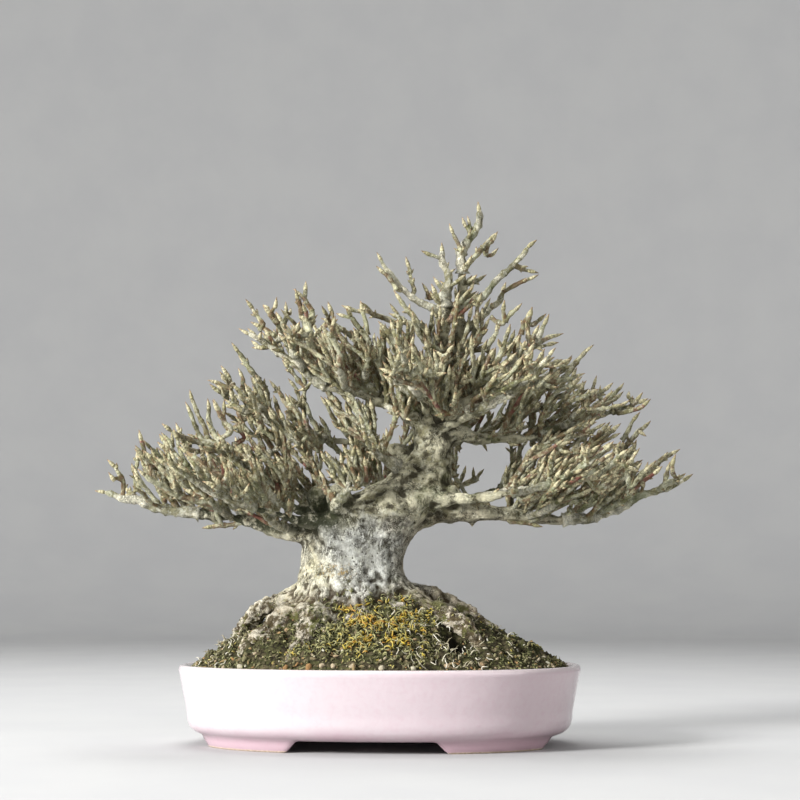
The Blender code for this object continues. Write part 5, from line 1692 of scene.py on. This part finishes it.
class BONSAI_OT_soil(bpy.types.Operator):
    """Makes the mound of soil, and the loose grains that lie on it."""

    bl_idname = "bonsai.soil"
    bl_label = "Soil and grains"

    def execute(self, context):
        colours = context.scene.bonsai_colours
        points, quads, tris = soil_surface(steps=270, rows=110)
        make_piece("soil_mound", "soil", "soil", soil_finish(colours), potted(points), quads, tris,
                   hollow=in_hollow(points))
        rng = np.random.default_rng(GRAIN_SEED)
        count = context.scene.bonsai_sizes.grains
        place, _ = on_mound(count, rng, low=0.015, high=0.7)
        near_rim, _ = on_mound(count // 2, rng, low=0.015, high=0.12)
        edge = oval(SOIL_INSET, SOIL_EDGE, EDGE_STEPS)
        chosen = [int(np.argmin(np.abs(edge[:, 0] - x) + 1000 * (edge[:, 1] > 0))) for x in RIM_GRAINS]
        large = mound(edge[chosen, 0], edge[chosen, 1], rng.uniform(0.03, 0.06, len(chosen)))
        place = np.concatenate([place, near_rim, large])
        sizes = rng.uniform(0.4, 1.0, len(place)) * np.where(rng.random(len(place)) < 0.06, 1.6, 1)
        sizes[-len(large):] = rng.uniform(1.4, 1.9, len(large))
        slender = rng.uniform(0.4, 1.0, len(place))
        slender[-len(large):] = 0.95
        tint = rng.random(len(place))
        tint[-len(large):] = rng.uniform(0.84, 1.0, len(large))
        way = units(rng.normal(size=place.shape) * np.array([1, 1, 0.6]))
        t = np.array([-1.0, -0.5, 0.35, 1.0])
        reach = (sizes / slender)[:, None, None]
        lines = place[:, None] + np.array([0, 0, 0.25]) + way[:, None] * (t[None, :, None] * reach)
        radii = (sizes * slender ** 0.5)[:, None, None] * np.array([0.4, 0.95, 0.9, 0.35])[None, :, None]
        radii = radii * rng.uniform(0.6, 1.2, (len(place), 4, 5))
        points, quads, tris, _ = tubes(lines, radii, 5, rng.uniform(0, 6, len(place)))
        make_piece("soil_grains", "soil", "soil", grain_finish(), potted(points), quads, tris,
                   chance=np.repeat(tint, len(points) // len(place)))
        return {"FINISHED"}


class BONSAI_OT_moss(bpy.types.Operator):
    """Makes the moss strands on the mound and the roots, and the pale dry fibres among them."""

    bl_idname = "bonsai.moss"
    bl_label = "Moss and fibres"

    def execute(self, context):
        sizes = context.scene.bonsai_sizes
        rng = np.random.default_rng(GRAIN_SEED + 1)
        place, up = on_mound(sizes.moss * 6, rng)
        place = potted(place)
        bark, _, normals = trunk_kept(sizes.bark_grain / MM)
        low = np.flatnonzero((bark[:, 2] < 80) & (bark[:, 2] > 40))
        some = rng.choice(low, sizes.moss * 2)
        patch, drift = moss_share(bark[some])
        climbing = rng.random(len(some)) < (0.8 * patch + 0.12 * drift) * (1 - eased(bark[some, 2], 62, 78))
        some = some[climbing]
        patch, drift = moss_share(place)
        kept = rng.random(len(place)) < np.minimum(1, 0.6 * patch + 0.3 * drift)
        starts = np.concatenate([place[kept][:sizes.moss * 3 // 4], bark[some][:sizes.moss // 4]])
        ups = np.concatenate([up[kept][:sizes.moss * 3 // 4], normals[some][:sizes.moss // 4]])
        ways = units(ups + 0.55 * rng.normal(size=ups.shape))
        patch, drift = moss_share(starts)
        shaded = 0.3 * (1 - eased(starts[:, 0], -40, -18)) * eased(starts[:, 2], 56, 62)
        tint = 0.24 + 0.5 * patch - shaded + 0.35 * crumple(starts, 9, 2, 141)
        tint = np.clip(tint + 0.2 * rng.normal(size=len(starts)), 0, 1)
        long = (2.3 + 2.6 * patch) * rng.uniform(0.6, 1.5, len(starts))
        points, quads, tris, share = strands(starts - 0.4 * ups, ways, long, width=0.44, curl=4.4, rng=rng)
        make_piece("moss", "soil", "soil", moss_finish(context.scene.bonsai_colours), points, quads, tris,
                   share=share, chance=np.repeat(tint, len(points) // len(starts)))
        place, up = on_mound(sizes.fibres * 8, rng)
        front = np.exp(-((place[:, 0] - 34) / 22) ** 2) * (1 - eased(place[:, 1], -40, -14))
        left = 0.35 * np.exp(-((place[:, 0] + 80) / 14) ** 2)
        kept = rng.random(len(place)) < np.minimum(1, 0.85 * front + left + 0.035)
        place, up = potted(place[kept])[:sizes.fibres], up[kept][:sizes.fibres]
        flat = units(np.cross(up, rng.normal(size=up.shape)) + 0.45 * up)
        long = rng.uniform(1.8, 5.5, len(place))
        points, quads, tris, share = strands(place + 0.8 * up, flat, long, width=0.27, curl=1.9, rng=rng,
                                             rings=7, sides=4, kinks=1.0)
        make_piece("dry_fibres", "soil", "soil", litter_finish(), points, quads, tris, share=share,
                   chance=np.repeat(rng.random(len(place)), len(points) // len(place)))
        return {"FINISHED"}


class BONSAI_OT_fittings(bpy.types.Operator):
    """Gives the drain screens and their wire clips their finishes."""

    bl_idname = "bonsai.fittings"
    bl_label = "Screens and clips"

    def execute(self, context):
        for nodes, made in ((("drain_screen_left", "drain_screen_right"), screen_finish()),
                            (("screen_clip_left", "screen_clip_right"), wire_finish())):
            for name in nodes:
                materials = frame["nodes"][name].data.materials
                if not len(materials):
                    materials.append(made)
                for i in range(len(materials)):
                    materials[i] = made
        return {"FINISHED"}


def aimed(place):
    """The turn that points a lamp from its place to AIM: it shines along its own downward axis."""
    way = unit(np.array(AIM) - np.array(place))
    return (math.acos(-way[2]), 0, math.atan2(way[1], way[0]) - math.pi / 2)


class BONSAI_OT_stage(bpy.types.Operator):
    """Makes the pale floor that curves up into a round wall, the soft lights and the camera."""

    bl_idname = "bonsai.stage"
    bl_label = "Stage"

    def execute(self, context):
        scene = context.scene
        bend = np.linspace(0, math.pi / 2, 13)
        reach = np.concatenate([FLOOR_RINGS, FLOOR_RADIUS + FLOOR_BEND * np.sin(bend),
                                [FLOOR_RADIUS + FLOOR_BEND] * len(WALL_HEIGHTS)])
        rise = np.concatenate([[0] * len(FLOOR_RINGS), FLOOR_BEND * (1 - np.cos(bend)), WALL_HEIGHTS])
        a = 2 * math.pi * np.arange(FLOOR_SIDES) / FLOOR_SIDES
        around = np.stack([np.cos(a), np.sin(a), 0 * a], axis=-1)
        rings = reach[:, None, None] * around + np.array([0, 0, 1]) * rise[:, None, None]
        mesh = bpy.data.meshes.new("studio_floor")
        faces = grid_faces(len(reach), FLOOR_SIDES)[:, ::-1].tolist() + [list(range(FLOOR_SIDES))]
        mesh.from_pydata(rings.reshape(-1, 3).tolist(), [], faces)
        mesh.shade_smooth()
        mesh.materials.append(paper_finish())
        floor = bpy.data.objects.new("studio_floor", mesh)
        scene.collection.objects.link(floor)
        world = bpy.data.worlds.new("soft room")
        world.use_nodes = True
        world.node_tree.nodes["Background"].inputs["Color"].default_value = SKY
        world.node_tree.nodes["Background"].inputs["Strength"].default_value = SKY_STRENGTH
        scene.world = world
        scene.view_settings.view_transform = "Standard"
        for name, place, size, power in LIGHTS:
            light = bpy.data.lights.new(name, "AREA")
            light.shape = "SQUARE"
            light.size = size
            light.energy = power
            lamp = bpy.data.objects.new(name, light)
            lamp.location = place
            lamp.rotation_euler = aimed(place)
            scene.collection.objects.link(lamp)
        lens = bpy.data.cameras.new("camera")
        lens.lens = CAMERA_LENS
        lens.sensor_width = 36
        lens.clip_start = 0.01
        camera = bpy.data.objects.new("camera", lens)
        camera.location = (rowed(CAMERA_PLACE) * MM).tolist()
        camera.rotation_euler = (math.radians(90 + CAMERA_RISE), 0, TREE_TURN)
        scene.collection.objects.link(camera)
        scene.camera = camera
        return {"FINISHED"}


class BONSAI_PT_panel(bpy.types.Panel):
    """Lists the bonsai's pieces, sizes and colours."""

    bl_idname = "BONSAI_PT_panel"
    bl_label = "Trident Maple Bonsai"
    bl_space_type = "VIEW_3D"
    bl_region_type = "UI"
    bl_category = "Bonsai"

    def draw(self, context):
        for operator in OPERATORS:
            self.layout.operator(operator.bl_idname)
        for values in (context.scene.bonsai_sizes, context.scene.bonsai_colours):
            box = self.layout.box()
            for name in values.__annotations__:
                box.prop(values, name)


OPERATORS = (BONSAI_OT_pot, BONSAI_OT_trunk, BONSAI_OT_limbs, BONSAI_OT_twigs, BONSAI_OT_buds, BONSAI_OT_soil,
             BONSAI_OT_moss, BONSAI_OT_fittings, BONSAI_OT_stage)
CLASSES = (BonsaiSizes, BonsaiColours, *OPERATORS, BONSAI_PT_panel)


def register():
    """Makes the sizes, the colours and the operators known to Blender."""
    for made in CLASSES:
        bpy.utils.register_class(made)
    bpy.types.Scene.bonsai_sizes = bpy.props.PointerProperty(type=BonsaiSizes)
    bpy.types.Scene.bonsai_colours = bpy.props.PointerProperty(type=BonsaiColours)


def unregister():
    del bpy.types.Scene.bonsai_colours
    del bpy.types.Scene.bonsai_sizes
    for made in reversed(CLASSES):
        bpy.utils.unregister_class(made)


def main():
    """Makes the stage and every piece in order."""
    register()
    bpy.ops.bonsai.stage()
    bpy.ops.bonsai.pot()
    bpy.ops.bonsai.trunk()
    bpy.ops.bonsai.limbs()
    bpy.ops.bonsai.twigs()
    bpy.ops.bonsai.buds()
    bpy.ops.bonsai.soil()
    bpy.ops.bonsai.moss()
    bpy.ops.bonsai.fittings()


if __name__ == "__main__":
    main()
